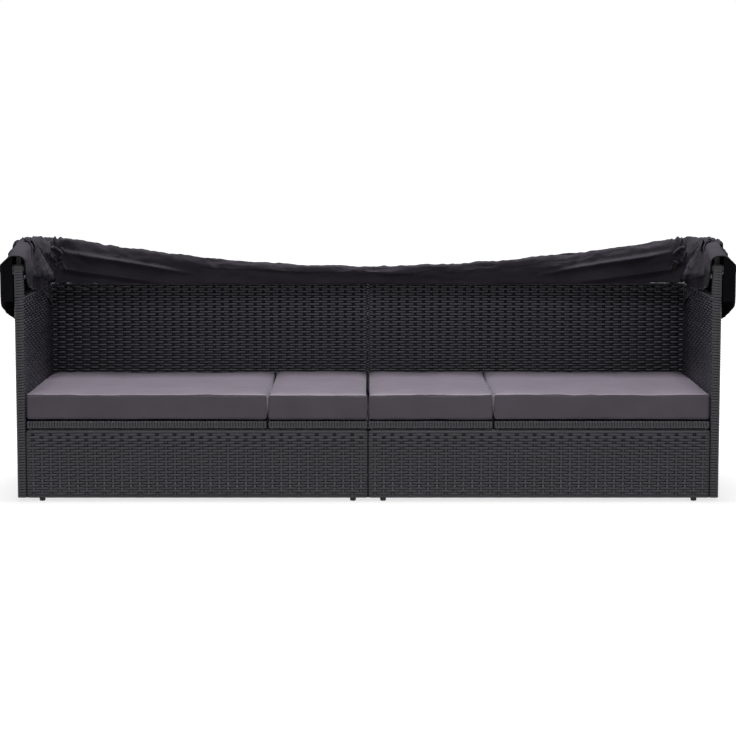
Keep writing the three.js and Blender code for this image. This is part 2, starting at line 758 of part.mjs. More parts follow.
// How high the folded cloth stands over the bows at a place along them.
function foldHeight({ x, u }) {
  const across = Math.min(1, Math.abs(x) / (LEG_X - BOW_CORNER_RADIUS));
  const onCrown = FOLD_HEIGHT_MIDDLE + (FOLD_HEIGHT_CORNER - FOLD_HEIGHT_MIDDLE) * across * across;
  const legLength = FRONT_BOW_REACH - BOW_CORNER_RADIUS - FLAP_BACK;
  const along = Math.min(1, Math.max(0, (u - FLAP_BACK) / legLength));
  const onLeg = FOLD_HEIGHT_POST + (FOLD_HEIGHT_CORNER - FOLD_HEIGHT_POST) * Math.sqrt(along);
  return across < 1 ? onCrown : onLeg;
}

// A pleat of the folded cloth: its section's points are given as shares of its width and its height.
function pleatGeometry({ from, to, bottom, shares, phase, legFrom, startShare }) {
  const places = bowStations(legFrom, CLOTH_LEG_STEPS, CLOTH_CORNER_STEPS, CLOTH_CROWN_STEPS);
  places.reverse();
  let walked = 0;
  const rings = places.map((here, i) => {
    const before = places[Math.max(0, i - 1)];
    walked += Math.hypot(here.x - before.x, here.u - before.u);
    const wave = Math.sin((2 * Math.PI * walked) / FOLD_RIPPLE_LENGTH + phase);
    const grown = Math.min(1, (here.u - legFrom) / LEG_FILL_LENGTH);
    const share = startShare + (1 - startShare) * grown;
    const top = share * foldHeight(here) + FOLD_RIPPLE * wave;
    return shares.map(([across, up], k) => {
      const sway = 1 + FOLD_SWAY_SHARE * Math.sin(walked / FOLD_RIPPLE_LENGTH + phase + k) * up;
      const offset = from + (to - from) * Math.min(1, Math.max(0, across * sway));
      const n = bottom + (top - bottom) * up;
      return new THREE.Vector3(here.x + here.nx * offset, here.u + here.nu * offset, n);
    });
  });
  const outline = shares.map(([across, up]) => new THREE.Vector2(across, up));
  return sweptRings(rings, outline);
}

const FOLD_SWAY_SHARE = 0.08;

// Section of a narrow pleat, from its inner foot round over its top to its outer foot.
const PLEAT_SHARES = [
  [0, 0],
  [1, 0],
  [1, 0.45],
  [0.92, 0.88],
  [0.7, 1],
  [0.5, 0.93],
  [0.28, 0.99],
  [0.06, 0.86],
  [0, 0.4],
];

// Section of the thick front roll, with its folds along the inner side and the top.
const ROLL_SHARES = [
  [0.55, 0.04],
  [0.8, 0],
  [1, 0.1],
  [1, 0.5],
  [0.96, 0.82],
  [0.86, 0.96],
  [0.76, 0.85],
  [0.62, 1],
  [0.48, 0.86],
  [0.33, 0.95],
  [0.22, 0.76],
  [0.06, 0.74],
  [0.13, 0.58],
  [0, 0.42],
  [0.12, 0.28],
  [0.1, 0.1],
  [0.3, 0],
  [0.42, 0.08],
];

// Section of a flap at a post, up inside the post, over it, and down outside it.
function flapSection(crown) {
  const inside = INNER_X - FLAP_INNER_SETBACK;
  const outside = HALF_LENGTH + FLAP_OUTER_OFFSET;
  const shoulder = outside - FLAP_SHOULDER_INSET;
  const lean = Math.atan2(crown - FLAP_SHOULDER_RISE, FLAP_SHOULDER_INSET);
  const arch = new THREE.Shape();
  const t = CLOTH_THICKNESS;
  const r = FLAP_CORNER_RADIUS;
  arch.moveTo(inside, -FLAP_INNER_DROP);
  arch.lineTo(inside, crown - r);
  arch.absarc(inside + r, crown - r, r, Math.PI, Math.PI / 2, true);
  arch.lineTo(shoulder, crown);
  arch.lineTo(outside, FLAP_SHOULDER_RISE);
  arch.lineTo(outside, -FLAP_INNER_DROP);
  arch.lineTo(outside - t, -FLAP_INNER_DROP);
  arch.lineTo(outside - t, FLAP_SHOULDER_RISE - t * Math.tan(Math.PI / 4 - lean / 2));
  arch.lineTo(shoulder - t * Math.tan(lean / 2), crown - t);
  arch.lineTo(inside + r, crown - t);
  arch.absarc(inside + r, crown - r, r - t, Math.PI / 2, Math.PI);
  arch.lineTo(inside + t, -FLAP_INNER_DROP);
  const points = arch.getPoints(FLAP_STEPS / 2).reverse();
  return points.filter((point, i) => i === 0 || point.distanceTo(points[i - 1]) > POINT_SPACING);
}

// The flap rises from the post towards the folded roll behind it, and its back edge follows the
// roll's end. Its outer side runs on to the back as a long valance.
function flapGeometry(sign) {
  const lean = Math.tan(FOLDED_ANGLE);
  const rise = FOLD_HEIGHT_POST - FLAP_BACK * lean - FLAP_CROWN;
  const rollFoot = FLAP_BACK * lean + ROLL_DROP / Math.cos(FOLDED_ANGLE);
  const rings = [];
  for (let i = 0; i <= FLAP_STEPS; i += 1) {
    const share = i / FLAP_STEPS;
    const crown = FLAP_CROWN + rise * Math.sin((share * Math.PI) / 2);
    rings.push(
      flapSection(crown).map(({ x, y: z }) => {
        const back = FLAP_BACK + (z + rollFoot) * lean;
        return new THREE.Vector3(x, share * (FLAP_FRONT + back) - FLAP_FRONT, z);
      }),
    );
  }
  const sheet = sweptRings(rings.reverse(), flapSection(FLAP_CROWN));
  const flap = joined([cut(sheet, [innerFrontTrim()]), valance()]);
  if (sign > 0) return flap;
  return mirrored(flap);
}

// A shape drawn in the plane of Y and Z, given a thickness along X.
function acrossX(shape, fromX, toX) {
  return new THREE.ExtrudeGeometry(shape, {
    depth: toX - fromX,
    bevelEnabled: false,
    curveSegments: FLAP_STEPS,
  })
    .rotateX(Math.PI / 2)
    .rotateZ(Math.PI / 2)
    .translate(fromX, 0, 0);
}

// The room in front of the flap's inner side, whose front edge runs back as it falls.
function innerFrontTrim() {
  const front = -FLAP_FRONT;
  const inside = INNER_X - FLAP_INNER_SETBACK;
  const room = new THREE.Shape();
  room.moveTo(front - OVERRUN, FLAP_INNER_TOP);
  room.lineTo(front - OVERRUN, -FLAP_INNER_DROP - OVERRUN);
  room.lineTo(FLAP_INNER_SLANT, -FLAP_INNER_DROP - OVERRUN);
  room.lineTo(FLAP_INNER_SLANT, -FLAP_INNER_DROP);
  room.quadraticCurveTo(0, -FLAP_INNER_DROP, front, FLAP_INNER_TOP);
  room.closePath();
  return acrossX(room, inside - OVERRUN, inside + FLAP_CORNER_RADIUS);
}

// The flap's long outer side, along the outermost bow's leg.
function valance() {
  const front = -FLAP_FRONT;
  const outside = HALF_LENGTH + FLAP_OUTER_OFFSET;
  const r = FLAP_CORNER_RADIUS;
  const side = new THREE.Shape();
  side.moveTo(front, FLAP_SHOULDER_RISE);
  side.lineTo(front, r - VALANCE_FRONT_DROP);
  side.quadraticCurveTo(front, -VALANCE_FRONT_DROP, front + r, -VALANCE_FRONT_DROP);
  side.quadraticCurveTo(VALANCE_REACH / 2, -VALANCE_BACK_DROP, VALANCE_REACH, -VALANCE_BACK_DROP);
  side.lineTo(VALANCE_REACH, VALANCE_TOP_RISE - VALANCE_REACH * Math.tan(FOLDED_ANGLE));
  side.closePath();
  return acrossX(side, outside - CLOTH_THICKNESS, outside);
}

function mirrored(geometry) {
  const copy = geometry.clone().scale(-1, 1, 1);
  const index = copy.index.array;
  for (let i = 0; i < index.length; i += 3) {
    [index[i + 1], index[i + 2]] = [index[i + 2], index[i + 1]];
  }
  return copy;
}

// The cloth fixed along the inside of each side panel's top, under the folded roll, with a
// slanting lower edge.
function gusset({ name, sign }) {
  const front = PIVOT_Y + FLAP_BACK + GUSSET_FRONT_GAP;
  const back = BACK_FACE_Y - GUSSET_BACK_GAP;
  const frontBottom = BODY_TOP + GUSSET_FRONT_RISE;
  const underRoll = PIVOT_HEIGHT - (ROLL_DROP + SEAT_GAP) / Math.cos(FOLDED_ANGLE);
  const topAt = (y) => underRoll - (y - PIVOT_Y) * Math.tan(FOLDED_ANGLE);
  const outline = new THREE.Shape();
  outline.moveTo(front, frontBottom);
  outline.quadraticCurveTo(
    (front + back) / 2,
    frontBottom,
    back,
    BODY_TOP - GUSSET_BACK_DROP,
  );
  outline.lineTo(back, topAt(back));
  outline.lineTo(front, topAt(front));
  outline.closePath();
  const from = sign > 0 ? INNER_X - SEAT_GAP - CLOTH_THICKNESS : SEAT_GAP - INNER_X;
  const sheet = acrossX(outline, from, from + CLOTH_THICKNESS);
  place(daybed, `canopy_gusset_${name}`, sheet, "cloth");
}

function post({ name, sign }) {
  const from = BODY_TOP + SEAT_GAP;
  const half = POST_WIDTH / 2;
  const outline = new THREE.Shape();
  outline.moveTo(PIVOT_Y - half, from);
  outline.lineTo(PIVOT_Y + half, from);
  outline.lineTo(PIVOT_Y + half, PIVOT_HEIGHT);
  outline.absarc(PIVOT_Y, PIVOT_HEIGHT, half, 0, Math.PI);
  outline.closePath();
  const hole = new THREE.Path();
  hole.absarc(PIVOT_Y, PIVOT_HEIGHT, BOLT_RADIUS + SEAT_GAP, 0, 2 * Math.PI);
  outline.holes.push(hole);
  const bar = new THREE.ExtrudeGeometry(outline, {
    depth: PANEL_THICKNESS,
    bevelEnabled: false,
    curveSegments: POST_STEPS,
  })
    .rotateX(Math.PI / 2)
    .rotateZ(Math.PI / 2)
    .translate(sign > 0 ? INNER_X : -HALF_LENGTH, 0, 0);
  place(daybed, `canopy_post_${name}`, bar, "weave");
}

function pivotBolt({ name, sign }) {
  const outer = LEG_X + REAR_BOW_OFFSET + EYE_LENGTH / 2 + HINGE_GAP;
  const inner = INNER_X - SEAT_GAP;
  const bolt = joined([
    rod("x", inner - BOLT_HEAD_HEIGHT, outer + BOLT_HEAD_HEIGHT, BOLT_RADIUS, PIN_SIDES),
    rod("x", outer, outer + BOLT_HEAD_HEIGHT, BOLT_HEAD_RADIUS, PIN_SIDES),
    rod("x", inner - BOLT_HEAD_HEIGHT, inner, BOLT_HEAD_RADIUS, PIN_SIDES),
  ]);
  const placed = place(
    daybed,
    `pivot_bolt_${name}`,
    sign > 0 ? bolt : mirrored(bolt),
    "bolt",
  );
  placed.position.set(0, PIVOT_Y, PIVOT_HEIGHT);
}

// The three bows and the cloth on them, folded back onto the backrest.
function canopy() {
  const folded = new THREE.Group();
  folded.position.set(0, PIVOT_Y, PIVOT_HEIGHT);
  folded.rotation.x = -FOLDED_ANGLE;
  daybed.add(folded);
  place(folded, "bow_front", bowGeometry(0), "steel");
  place(folded, "bow_middle", bowGeometry(BOW_PITCH), "steel");
  place(folded, "bow_rear", bowGeometry(REAR_BOW_OFFSET), "steel");
  const overBow = BOW_TUBE_RADIUS + SEAT_GAP;
  const legFrom =
    (FLAP_BACK + SEAT_GAP + ROLL_DROP * Math.sin(FOLDED_ANGLE)) / Math.cos(FOLDED_ANGLE);
  for (const [name, offset, phase, startShare] of [
    ["canopy_pleat_middle", BOW_PITCH, 1, MIDDLE_START_SHARE],
    ["canopy_pleat_rear", REAR_BOW_OFFSET, 2, REAR_START_SHARE],
  ]) {
    const pleat = pleatGeometry({
      from: offset - PLEAT_WIDTH / 2,
      to: offset + PLEAT_WIDTH / 2,
      bottom: overBow,
      shares: PLEAT_SHARES,
      phase,
      legFrom,
      startShare,
    });
    place(folded, name, pleat, "cloth");
  }
  const outside = REAR_BOW_OFFSET + BOW_TUBE_RADIUS + SEAT_GAP;
  const fixed = pleatGeometry({
    from: outside,
    to: outside + REAR_PLEAT_WIDTH,
    bottom: -FIXED_DROP,
    shares: PLEAT_SHARES,
    phase: 3,
    legFrom,
    startShare: FIXED_START_SHARE,
  });
  place(folded, "canopy_cloth_fixed", fixed, "cloth");
  const roll = pleatGeometry({
    from: -ROLL_INNER_REACH,
    to: -BOW_TUBE_RADIUS - SEAT_GAP,
    bottom: -ROLL_DROP,
    shares: ROLL_SHARES,
    phase: 0,
    legFrom,
    startShare: 1,
  });
  place(folded, "canopy_roll_front", roll, "cloth");
  for (const { name, sign } of SIDES) {
    const flap = place(daybed, `canopy_flap_${name}`, flapGeometry(sign), "cloth");
    flap.position.set(0, PIVOT_Y, PIVOT_HEIGHT);
  }
}

for (const side of SIDES) {
  sidePanel(side);
  backPanel(side);
  frontSkirt(side);
  innerPanel(side);
  feet(side);
  deckRails(side);
  decks(side);
  deckHinges(side);
  cushions(side);
  post(side);
  pivotBolt(side);
  gusset(side);
}
for (const [label, y] of JOINING_BOLT_PLACES) joiningBolt(label, y);
canopy();

export default daybed;
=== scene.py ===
import json
import math

import bpy
import numpy as np
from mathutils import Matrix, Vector, noise


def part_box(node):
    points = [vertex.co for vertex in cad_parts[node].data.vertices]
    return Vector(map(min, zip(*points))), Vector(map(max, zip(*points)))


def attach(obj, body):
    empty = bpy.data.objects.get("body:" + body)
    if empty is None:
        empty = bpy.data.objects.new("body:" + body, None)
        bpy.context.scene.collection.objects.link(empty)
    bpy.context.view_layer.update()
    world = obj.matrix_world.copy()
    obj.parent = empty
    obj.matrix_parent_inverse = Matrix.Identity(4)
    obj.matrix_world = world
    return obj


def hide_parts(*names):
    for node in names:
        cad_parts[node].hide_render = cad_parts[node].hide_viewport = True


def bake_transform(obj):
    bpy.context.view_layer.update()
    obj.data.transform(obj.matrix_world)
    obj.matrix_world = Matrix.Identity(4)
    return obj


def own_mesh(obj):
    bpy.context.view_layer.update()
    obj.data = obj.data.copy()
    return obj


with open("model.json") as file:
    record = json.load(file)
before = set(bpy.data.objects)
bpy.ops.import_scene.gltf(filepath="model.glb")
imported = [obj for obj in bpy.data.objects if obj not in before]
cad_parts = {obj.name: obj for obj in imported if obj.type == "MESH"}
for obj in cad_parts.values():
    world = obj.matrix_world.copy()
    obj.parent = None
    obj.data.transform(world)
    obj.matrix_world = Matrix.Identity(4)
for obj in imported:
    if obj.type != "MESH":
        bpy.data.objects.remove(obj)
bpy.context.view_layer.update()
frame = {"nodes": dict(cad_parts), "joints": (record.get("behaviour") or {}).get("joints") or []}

# Everything is in metres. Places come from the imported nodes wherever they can.

SIDES = (("left", -1), ("right", 1))
AXES = np.eye(3)
HALF_TURN = math.sqrt(0.5)

JOINTS = {joint["name"]: joint for joint in frame["joints"]}
PIVOT_Y, PIVOT_Z = JOINTS["canopy_rear_hinge"]["pos_m"][1:]


def low_high(name):
    """A node's lowest and highest corners, as arrays."""
    low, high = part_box(name)
    return np.array(low), np.array(high)


def points_from(x, y, z):
    """Points from arrays of coordinates that spread over one another's rows and columns."""
    return np.stack(np.broadcast_arrays(x, y, z), axis=-1)


def add_object(name, data):
    made = bpy.data.objects.new(name, data)
    bpy.context.scene.collection.objects.link(made)
    return made


def add_mesh(name, points, faces, body, material):
    """A smooth piece made of points and faces, riding on a body and carrying one material."""
    mesh = bpy.data.meshes.new(name)
    mesh.from_pydata(np.asarray(points).tolist(), [], [list(face) for face in faces])
    mesh.validate()
    mesh.polygons.foreach_set("use_smooth", [True] * len(mesh.polygons))
    mesh.materials.append(material)
    piece = add_object(name, mesh)
    if body:
        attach(piece, body)
    return piece


def add_values(piece, name, values):
    """One number for each point of a piece, for its material to read."""
    layer = piece.data.attributes.new(name, "FLOAT", "POINT")
    layer.data.foreach_set("value", np.asarray(values, dtype=np.float32))


def fractal(points, roughness, lacunarity, octaves):
    """Fractal noise at each of an array's points."""
    values = [
        noise.fractal(Vector(p), roughness, lacunarity, octaves) for p in points.reshape(-1, 3)
    ]
    return np.array(values).reshape(points.shape[:-1])


# Materials

def new_material(name, color, roughness, metallic=0.0, specular=0.5):
    made = bpy.data.materials.new(name)
    made.use_nodes = True
    shader = made.node_tree.nodes["Principled BSDF"]
    shader.inputs["Base Color"].default_value = (*color, 1)
    shader.inputs["Roughness"].default_value = roughness
    shader.inputs["Metallic"].default_value = metallic
    shader.inputs["Specular IOR Level"].default_value = specular
    return made, made.node_tree, shader


def add_node(tree, kind, inputs=None, **settings):
    made = tree.nodes.new(kind)
    for key, value in settings.items():
        setattr(made, key, value)
    for key, value in (inputs or {}).items():
        made.inputs[key].default_value = value
    return made


def link(tree, source, output, target, entry):
    tree.links.new(source.outputs[output], target.inputs[entry])


def object_noise(tree, scale, detail=4.0, roughness=0.55):
    """Noise over the piece's own coordinates."""
    place = add_node(tree, "ShaderNodeTexCoord")
    pattern = add_node(
        tree, "ShaderNodeTexNoise", {"Scale": scale, "Detail": detail, "Roughness": roughness}
    )
    link(tree, place, "Object", pattern, "Vector")
    return pattern


def wave_bands(tree, scale, distortion, direction):
    """Bands across one of the piece's own axes."""
    place = add_node(tree, "ShaderNodeTexCoord")
    bands = add_node(
        tree, "ShaderNodeTexWave", {"Scale": scale, "Distortion": distortion},
        bands_direction=direction,
    )
    link(tree, place, "Object", bands, "Vector")
    return bands


def largest(tree, first, *others):
    """The largest of several values, each given as a node and the name of its output."""
    node, output = first
    for other, name in others:
        larger = add_node(tree, "ShaderNodeMath", operation="MAXIMUM")
        link(tree, node, output, larger, 0)
        link(tree, other, name, larger, 1)
        node, output = larger, "Value"
    return node


def blend_colors(tree, factor, dark, light, low=0.35, high=0.65):
    """A ramp between two colours over the middle of a pattern's range."""
    ramp = add_node(tree, "ShaderNodeValToRGB")
    for element, place, color in zip(ramp.color_ramp.elements, (low, high), (dark, light)):
        element.position = place
        element.color = (*color, 1)
    link(tree, factor, "Fac", ramp, "Fac")
    return ramp


def range_of(tree, factor, low, high):
    spread = add_node(tree, "ShaderNodeMapRange", {"To Min": low, "To Max": high})
    link(tree, factor, "Fac", spread, "Value")
    return spread


def add_bump(tree, shader, height, output, strength, distance, before=None):
    bump = add_node(tree, "ShaderNodeBump", {"Strength": strength, "Distance": distance})
    link(tree, height, output, bump, "Height")
    if before:
        link(tree, before, "Normal", bump, "Normal")
    link(tree, bump, "Normal", shader, "Normal")
    return bump


def strip_material():
    """Flat woven plastic strip: fine grooves along it, each strip a little lighter or darker."""
    made, tree, shader = new_material("woven_strip", (0.033, 0.032, 0.038), 0.42)
    tone = add_node(tree, "ShaderNodeAttribute", attribute_name="tone")
    color = blend_colors(tree, tone, (0.0155, 0.015, 0.0215), (0.033, 0.0318, 0.0425), 0.0, 1.0)
    link(tree, color, "Color", shader, "Base Color")
    across = add_node(tree, "ShaderNodeAttribute", attribute_name="across")
    wave = add_node(tree, "ShaderNodeMath", {1: 5 * math.pi}, operation="MULTIPLY")
    groove = add_node(tree, "ShaderNodeMath", operation="COSINE")
    link(tree, across, "Fac", wave, 0)
    link(tree, wave, "Value", groove, 0)
    grooves = add_bump(tree, shader, groove, "Value", 0.35, 0.0002)
    grain = object_noise(tree, 900.0, 3.0)
    add_bump(tree, shader, grain, "Fac", 0.15, 0.0003, before=grooves)
    dust = object_noise(tree, 14.0, 5.0)
    link(tree, range_of(tree, dust, 0.27, 0.44), "Result", shader, "Roughness")
    return made


def banded_material(name, base, roughness, bands, colors, span, bump):
    """Strip wound round a frame or a board, dark between its turns."""
    made, tree, shader = new_material(name, base, roughness)
    pattern = wave_bands(tree, *bands)
    color = blend_colors(tree, pattern, *colors, *span)
    link(tree, color, "Color", shader, "Base Color")
    add_bump(tree, shader, pattern, "Fac", *bump)
    return made


def mottled_material(
    name, base, roughness, spots, colors, span=(0.35, 0.65), polish=None, grain=None, metallic=0.0
):
    """A plain surface with a fine grain, its tone and polish changing from spot to spot."""
    made, tree, shader = new_material(name, base, roughness, metallic)
    if grain:
        scale, strength, distance = grain
        add_bump(tree, shader, object_noise(tree, scale, 2.0), "Fac", strength, distance)
    pattern = object_noise(tree, *spots)
    link(tree, blend_colors(tree, pattern, *colors, *span), "Color", shader, "Base Color")
    if polish:
        link(tree, range_of(tree, pattern, *polish), "Result", shader, "Roughness")
    return made


SHEEN_TINT = (0.9, 0.88, 1.0, 1)
# Painted shade: how dark cloth colour gets where a piece marks it as fully shaded.
PAINTED_SHADE_LEVEL = 0.2


def fabric_material(name, dark, light, roughness, sheen, specular, thread, wrinkle):
    """Plain woven cloth: crossing threads, uneven dye and a soft sheen. Its colour is darkened by
    painted shade where the piece's values mark it as lying in shadow."""
    made, tree, shader = new_material(name, light, roughness, specular=specular)
    shader.inputs["Sheen Weight"].default_value = sheen
    shader.inputs["Sheen Roughness"].default_value = 0.5
    shader.inputs["Sheen Tint"].default_value = SHEEN_TINT
    threads = largest(tree, *[(wave_bands(tree, thread, 0.4, axis), "Fac") for axis in "XYZ"])
    color = blend_colors(tree, object_noise(tree, 9.0, 6.0, 0.6), dark, light, 0.3, 0.7)
    # Painted shade: the colour is scaled down where the piece's values mark shadow.
    painted_shade = add_node(tree, "ShaderNodeAttribute", attribute_name="painted_shade")
    dimmed = add_node(tree, "ShaderNodeVectorMath", operation="SCALE")
    link(tree, color, "Color", dimmed, "Vector")
    link(tree, range_of(tree, painted_shade, 1.0, PAINTED_SHADE_LEVEL), "Result", dimmed, "Scale")
    link(tree, dimmed, "Vector", shader, "Base Color")
    weave = add_bump(tree, shader, threads, "Value", 0.25, 0.0004)
    creases = object_noise(tree, wrinkle, 5.0, 0.6)
    add_bump(tree, shader, creases, "Fac", 0.35, 0.004, before=weave)
    return made


STRIP = strip_material()
BACKING = banded_material(
    "wrapped_frame", (0.012, 0.012, 0.014), 0.6, (40.0, 0.6, "Z"),
    ((0.007, 0.007, 0.008), (0.021, 0.0205, 0.024)), (0.1, 0.9), (0.5, 0.001),
)
DECK = banded_material(
    "wrapped_deck", (0.03, 0.029, 0.033), 0.5, (20.0, 0.3, "X"),
    ((0.012, 0.0118, 0.0135), (0.04, 0.039, 0.045)), (0.05, 0.5), (0.6, 0.0012),
)
STEEL = mottled_material(
    "coated_steel", (0.016, 0.016, 0.018), 0.42, (30.0, 6.0, 0.7),
    ((0.014, 0.014, 0.016), (0.03, 0.03, 0.032)), (0.45, 0.8), (0.3, 0.58),
    grain=(700.0, 0.2, 0.0004),
)
ZINC = mottled_material(
    "zinc_plate", (0.62, 0.62, 0.64), 0.3, (160.0, 4.0, 0.6),
    ((0.42, 0.41, 0.4), (0.68, 0.68, 0.7)), polish=(0.2, 0.5), metallic=1.0,
)
FOOT = mottled_material(
    "foot_plastic", (0.012, 0.012, 0.012), 0.6, (90.0, 4.0),
    ((0.01, 0.01, 0.01), (0.022, 0.022, 0.023)), grain=(1500.0, 0.25, 0.0002),
)
COVER = fabric_material(
    "cushion_cover", (0.078, 0.062, 0.081), (0.098, 0.080, 0.103), 0.5, 0.25, 0.25, 420, 16
)
CANOPY = fabric_material(
    "canopy_cloth", (0.033, 0.030, 0.037), (0.048, 0.044, 0.054), 0.8, 0.03, 0.0, 480, 24
)
BINDING = fabric_material(
    "binding_tape", (0.006, 0.006, 0.007), (0.013, 0.0125, 0.014), 0.75, 0.05, 0.1, 900, 60
)
# Seam cord: the cover's cloth made about 15% lighter, a painted highlight along the cushions'
# edges.
SEAM_PAINTED_HIGHLIGHT = fabric_material(
    "seam_cord_painted_highlight", (0.09, 0.074, 0.094), (0.112, 0.094, 0.118), 0.5, 0.25, 0.25, 900, 60
)

NODE_MATERIALS = {
    "side_panel": BACKING, "back_panel": BACKING, "front_skirt": BACKING, "inner_panel": BACKING,
    "canopy_post": BACKING, "end_deck": DECK, "middle_deck": DECK, "rear_rail": STEEL,
    "side_rail": STEEL, "cross_rail": STEEL, "hinge_leaf": STEEL, "bow": STEEL,
    # Painted shade: the pivot bolt takes the near-black foot plastic so that it reads as the shadow
    # inside the hood.
    "pivot_bolt": FOOT, "joining_bolt": ZINC, "foot": FOOT,
}

for name, piece in frame["nodes"].items():
    for start, finish in NODE_MATERIALS.items():
        if name.startswith(start):
            piece.data.materials.clear()
            piece.data.materials.append(finish)


# Woven strip. Each strip is a closed ribbon that runs along a row of stations and waves over and
# under the upright stakes.

ROW_PITCH = 0.0079
STAKE_PITCH = 0.0252
STRIP_WIDTH = 0.0074
STRIP_THICKNESS = 0.0014
STAKE_WIDTH = 0.009
STAKE_THICKNESS = 0.0016
WAVE_HEIGHT = 0.0019
WAVE_MIDDLE = 0.0002
RIM_WAVE = 0.0014
RIM_WIDTH = 0.01
RIM_LIFT = 0.0008
EDGE_RADIUS = 0.006
JOINT_INSET = 0.0016
HALF_INSET = 0.0009
DECK_LIFT = 0.0002
DECK_EDGE = 0.004
DECK_RIM = 0.0175
DECK_WRAP = 0.02
DECK_COVERED = 0.95
STEPS_PER_STAKE = 3
OUTER_RUN = 0.6

# A ribbon's section: out from its panel and across it, each as a share of half its size.

RIBBON_SECTION = ((-0.2, -1), (1, -0.5), (1, 0.5), (-0.2, 1), (-1, 0))

random = np.random.default_rng(7)


class Ribbons:
    """Collects ribbons, with their tone and the place across them, for one mesh."""

    def __init__(self):
        self.points, self.faces, self.tone, self.across = [], [], [], []
        self.count = 0

    def add(
        self, centres, normals, across, closed, flip=False, tone=None,
        width=STRIP_WIDTH, thickness=STRIP_THICKNESS,
    ):
        number, corners = len(centres), len(RIBBON_SECTION)
        ring = [
            centres + normals * thickness / 2 * out + across * width / 2 * side
            for out, side in RIBBON_SECTION
        ]
        index = self.count + np.arange(number * corners).reshape(number, corners)
        beside = np.roll(index, -1, axis=1)
        quads = [index, np.roll(index, -1, axis=0), np.roll(beside, -1, axis=0), beside]
        quads = np.stack(quads, axis=-1)[: number if closed else -1]
        faces = quads.swapaxes(0, 1).reshape(-1, 4).tolist()
        if not closed:
            faces += [index[0, ::-1].tolist(), index[-1].tolist()]
        self.faces += [face[::-1] for face in faces] if flip else faces
        self.points.append(np.stack(ring, axis=1).reshape(-1, 3))
        if tone is None:
            tone = np.full(number, random.uniform(0.2, 0.8))
        self.tone.append(np.repeat(tone, corners))
        self.across.append(np.tile([side for _, side in RIBBON_SECTION], number))
        self.count += number * corners

    def piece(self, name, body):
        made = add_mesh(name, np.concatenate(self.points), self.faces, body, STRIP)
        add_values(made, "tone", np.concatenate(self.tone))
        add_values(made, "across", np.concatenate(self.across))


def strip_tone(places):
    """A strip's own tone with slow changes along it."""
    base = random.uniform(0.25, 0.75)
    phase = random.uniform(0, 2 * math.pi)
    speckle = 0.05 * random.standard_normal(len(places))
    return np.clip(base + 0.16 * np.sin(places * 9 + phase) + speckle, 0, 1)


def plan_points(main, along, out, z):
    """Points from a panel's own coordinates: along it, which is the world's x or y, out and up."""
    points = points_from(along, out, z)
    return points if main == "x" else points[..., [1, 0, 2]]


def plan_loop(a0, a1, b0, b1, stakes):
    """Stations round a panel's plan: place, outward direction, place along the stakes and whether
    the strip may wave there."""
    r = EDGE_RADIUS
    turn = r * (1 - HALF_TURN)
    steps = max(stakes * STEPS_PER_STAKE, 1)
    stations = []
    for side in (-1, 1):
        here, there, end = (b0, b1, a1) if side < 0 else (b1, b0, a0)
        for i in range(steps + 1):
            share = i / steps if side < 0 else 1 - i / steps
            a = a0 + r + (a1 - a0 - 2 * r) * share
            waves = min(a - a0, a1 - a) > RIM_WIDTH and stakes > 0
            stations.append((a, here, 0, side, share * stakes, waves))
        stations += [
            (end + side * turn, here - side * turn, -side * HALF_TURN, side * HALF_TURN, 0, 0),
            (end, here - side * r, -side, 0, 0, 0),
            (end, there + side * r, -side, 0, 0, 0),
            (end + side * turn, there + side * turn, -side * HALF_TURN, -side * HALF_TURN, 0, 0),
        ]
    return np.array(stations, dtype=float)


def lift_of(stake_place, may_wave, row):
    """How far a strip's centre lies off the panel's face."""
    swing = np.cos(math.pi * (stake_place - 0.5) + math.pi * row)
    wave = WAVE_MIDDLE + WAVE_HEIGHT * swing
    return np.where(may_wave > 0, wave, RIM_LIFT + RIM_WAVE * (0.5 + 0.5 * swing))


def add_row(cover, main, loop, z, lift, tone=None):
    """One strip round a panel's plan at a height."""
    a, b, out_a, out_b = loop[:, :4].T
    places = plan_points(main, a + out_a * lift, b + out_b * lift, z)
    normals = plan_points(main, out_a, out_b, 0)
    cover.add(places, normals, AXES[2], True, main == "y", tone)


def woven_cover(name, node, main, insets):
    """Strip woven round a panel: rows round its plan, stakes up both faces, runs along its top."""
    low, high = low_high(node)
    a = "xy".index(main)
    b = 1 - a
    a0, a1 = low[a] + insets[0], high[a] - insets[1]
    b0, b1, z0, z1 = low[b], high[b], low[2], high[2]
    inner = a1 - a0 - 2 * EDGE_RADIUS
    stakes = round(inner / STAKE_PITCH)
    loop = plan_loop(a0, a1, b0, b1, stakes)
    rows = round((z1 - z0) / ROW_PITCH)
    cover = Ribbons()
    for row in range(rows):
        z = z0 + (z1 - z0) / rows * (row + 0.5)
        in_rim = min(z - z0, z1 - z) < RIM_WIDTH
        lift = lift_of(loop[:, 4], loop[:, 5] * (0 if in_rim else 1), row)
        lift = np.where((loop[:, 4] == 0) & (loop[:, 5] == 0), RIM_LIFT, lift)
        add_row(cover, main, loop, z, lift, strip_tone(loop[:, 0]))
    heights = np.array([z0 + EDGE_RADIUS, z1 - EDGE_RADIUS])
    for side, face in ((-1, b0), (1, b1)):
        for stake in range(stakes):
            at = a0 + EDGE_RADIUS + inner * (stake + 0.5) / stakes
            places = plan_points(main, at, face + side * WAVE_MIDDLE, heights)
            flip = (side > 0) != (main == "y")
            cover.add(
                places, AXES[b] * side, AXES[a], False, flip,
                width=STAKE_WIDTH, thickness=STAKE_THICKNESS,
            )
    share = np.linspace(0, 1, stakes * STEPS_PER_STAKE + 1)
    along = a0 + EDGE_RADIUS / 2 + (a1 - a0 - EDGE_RADIUS) * share
    for row in (-1, 0, 1):
        lift = lift_of(share * stakes, 0, row) * (OUTER_RUN if row else 1)
        places = plan_points(main, along, (b0 + b1) / 2 + row * ROW_PITCH, z1 + lift)
        cover.add(places, AXES[2], AXES[b], False, main == "x", strip_tone(share))
    cover.piece(name, "base")


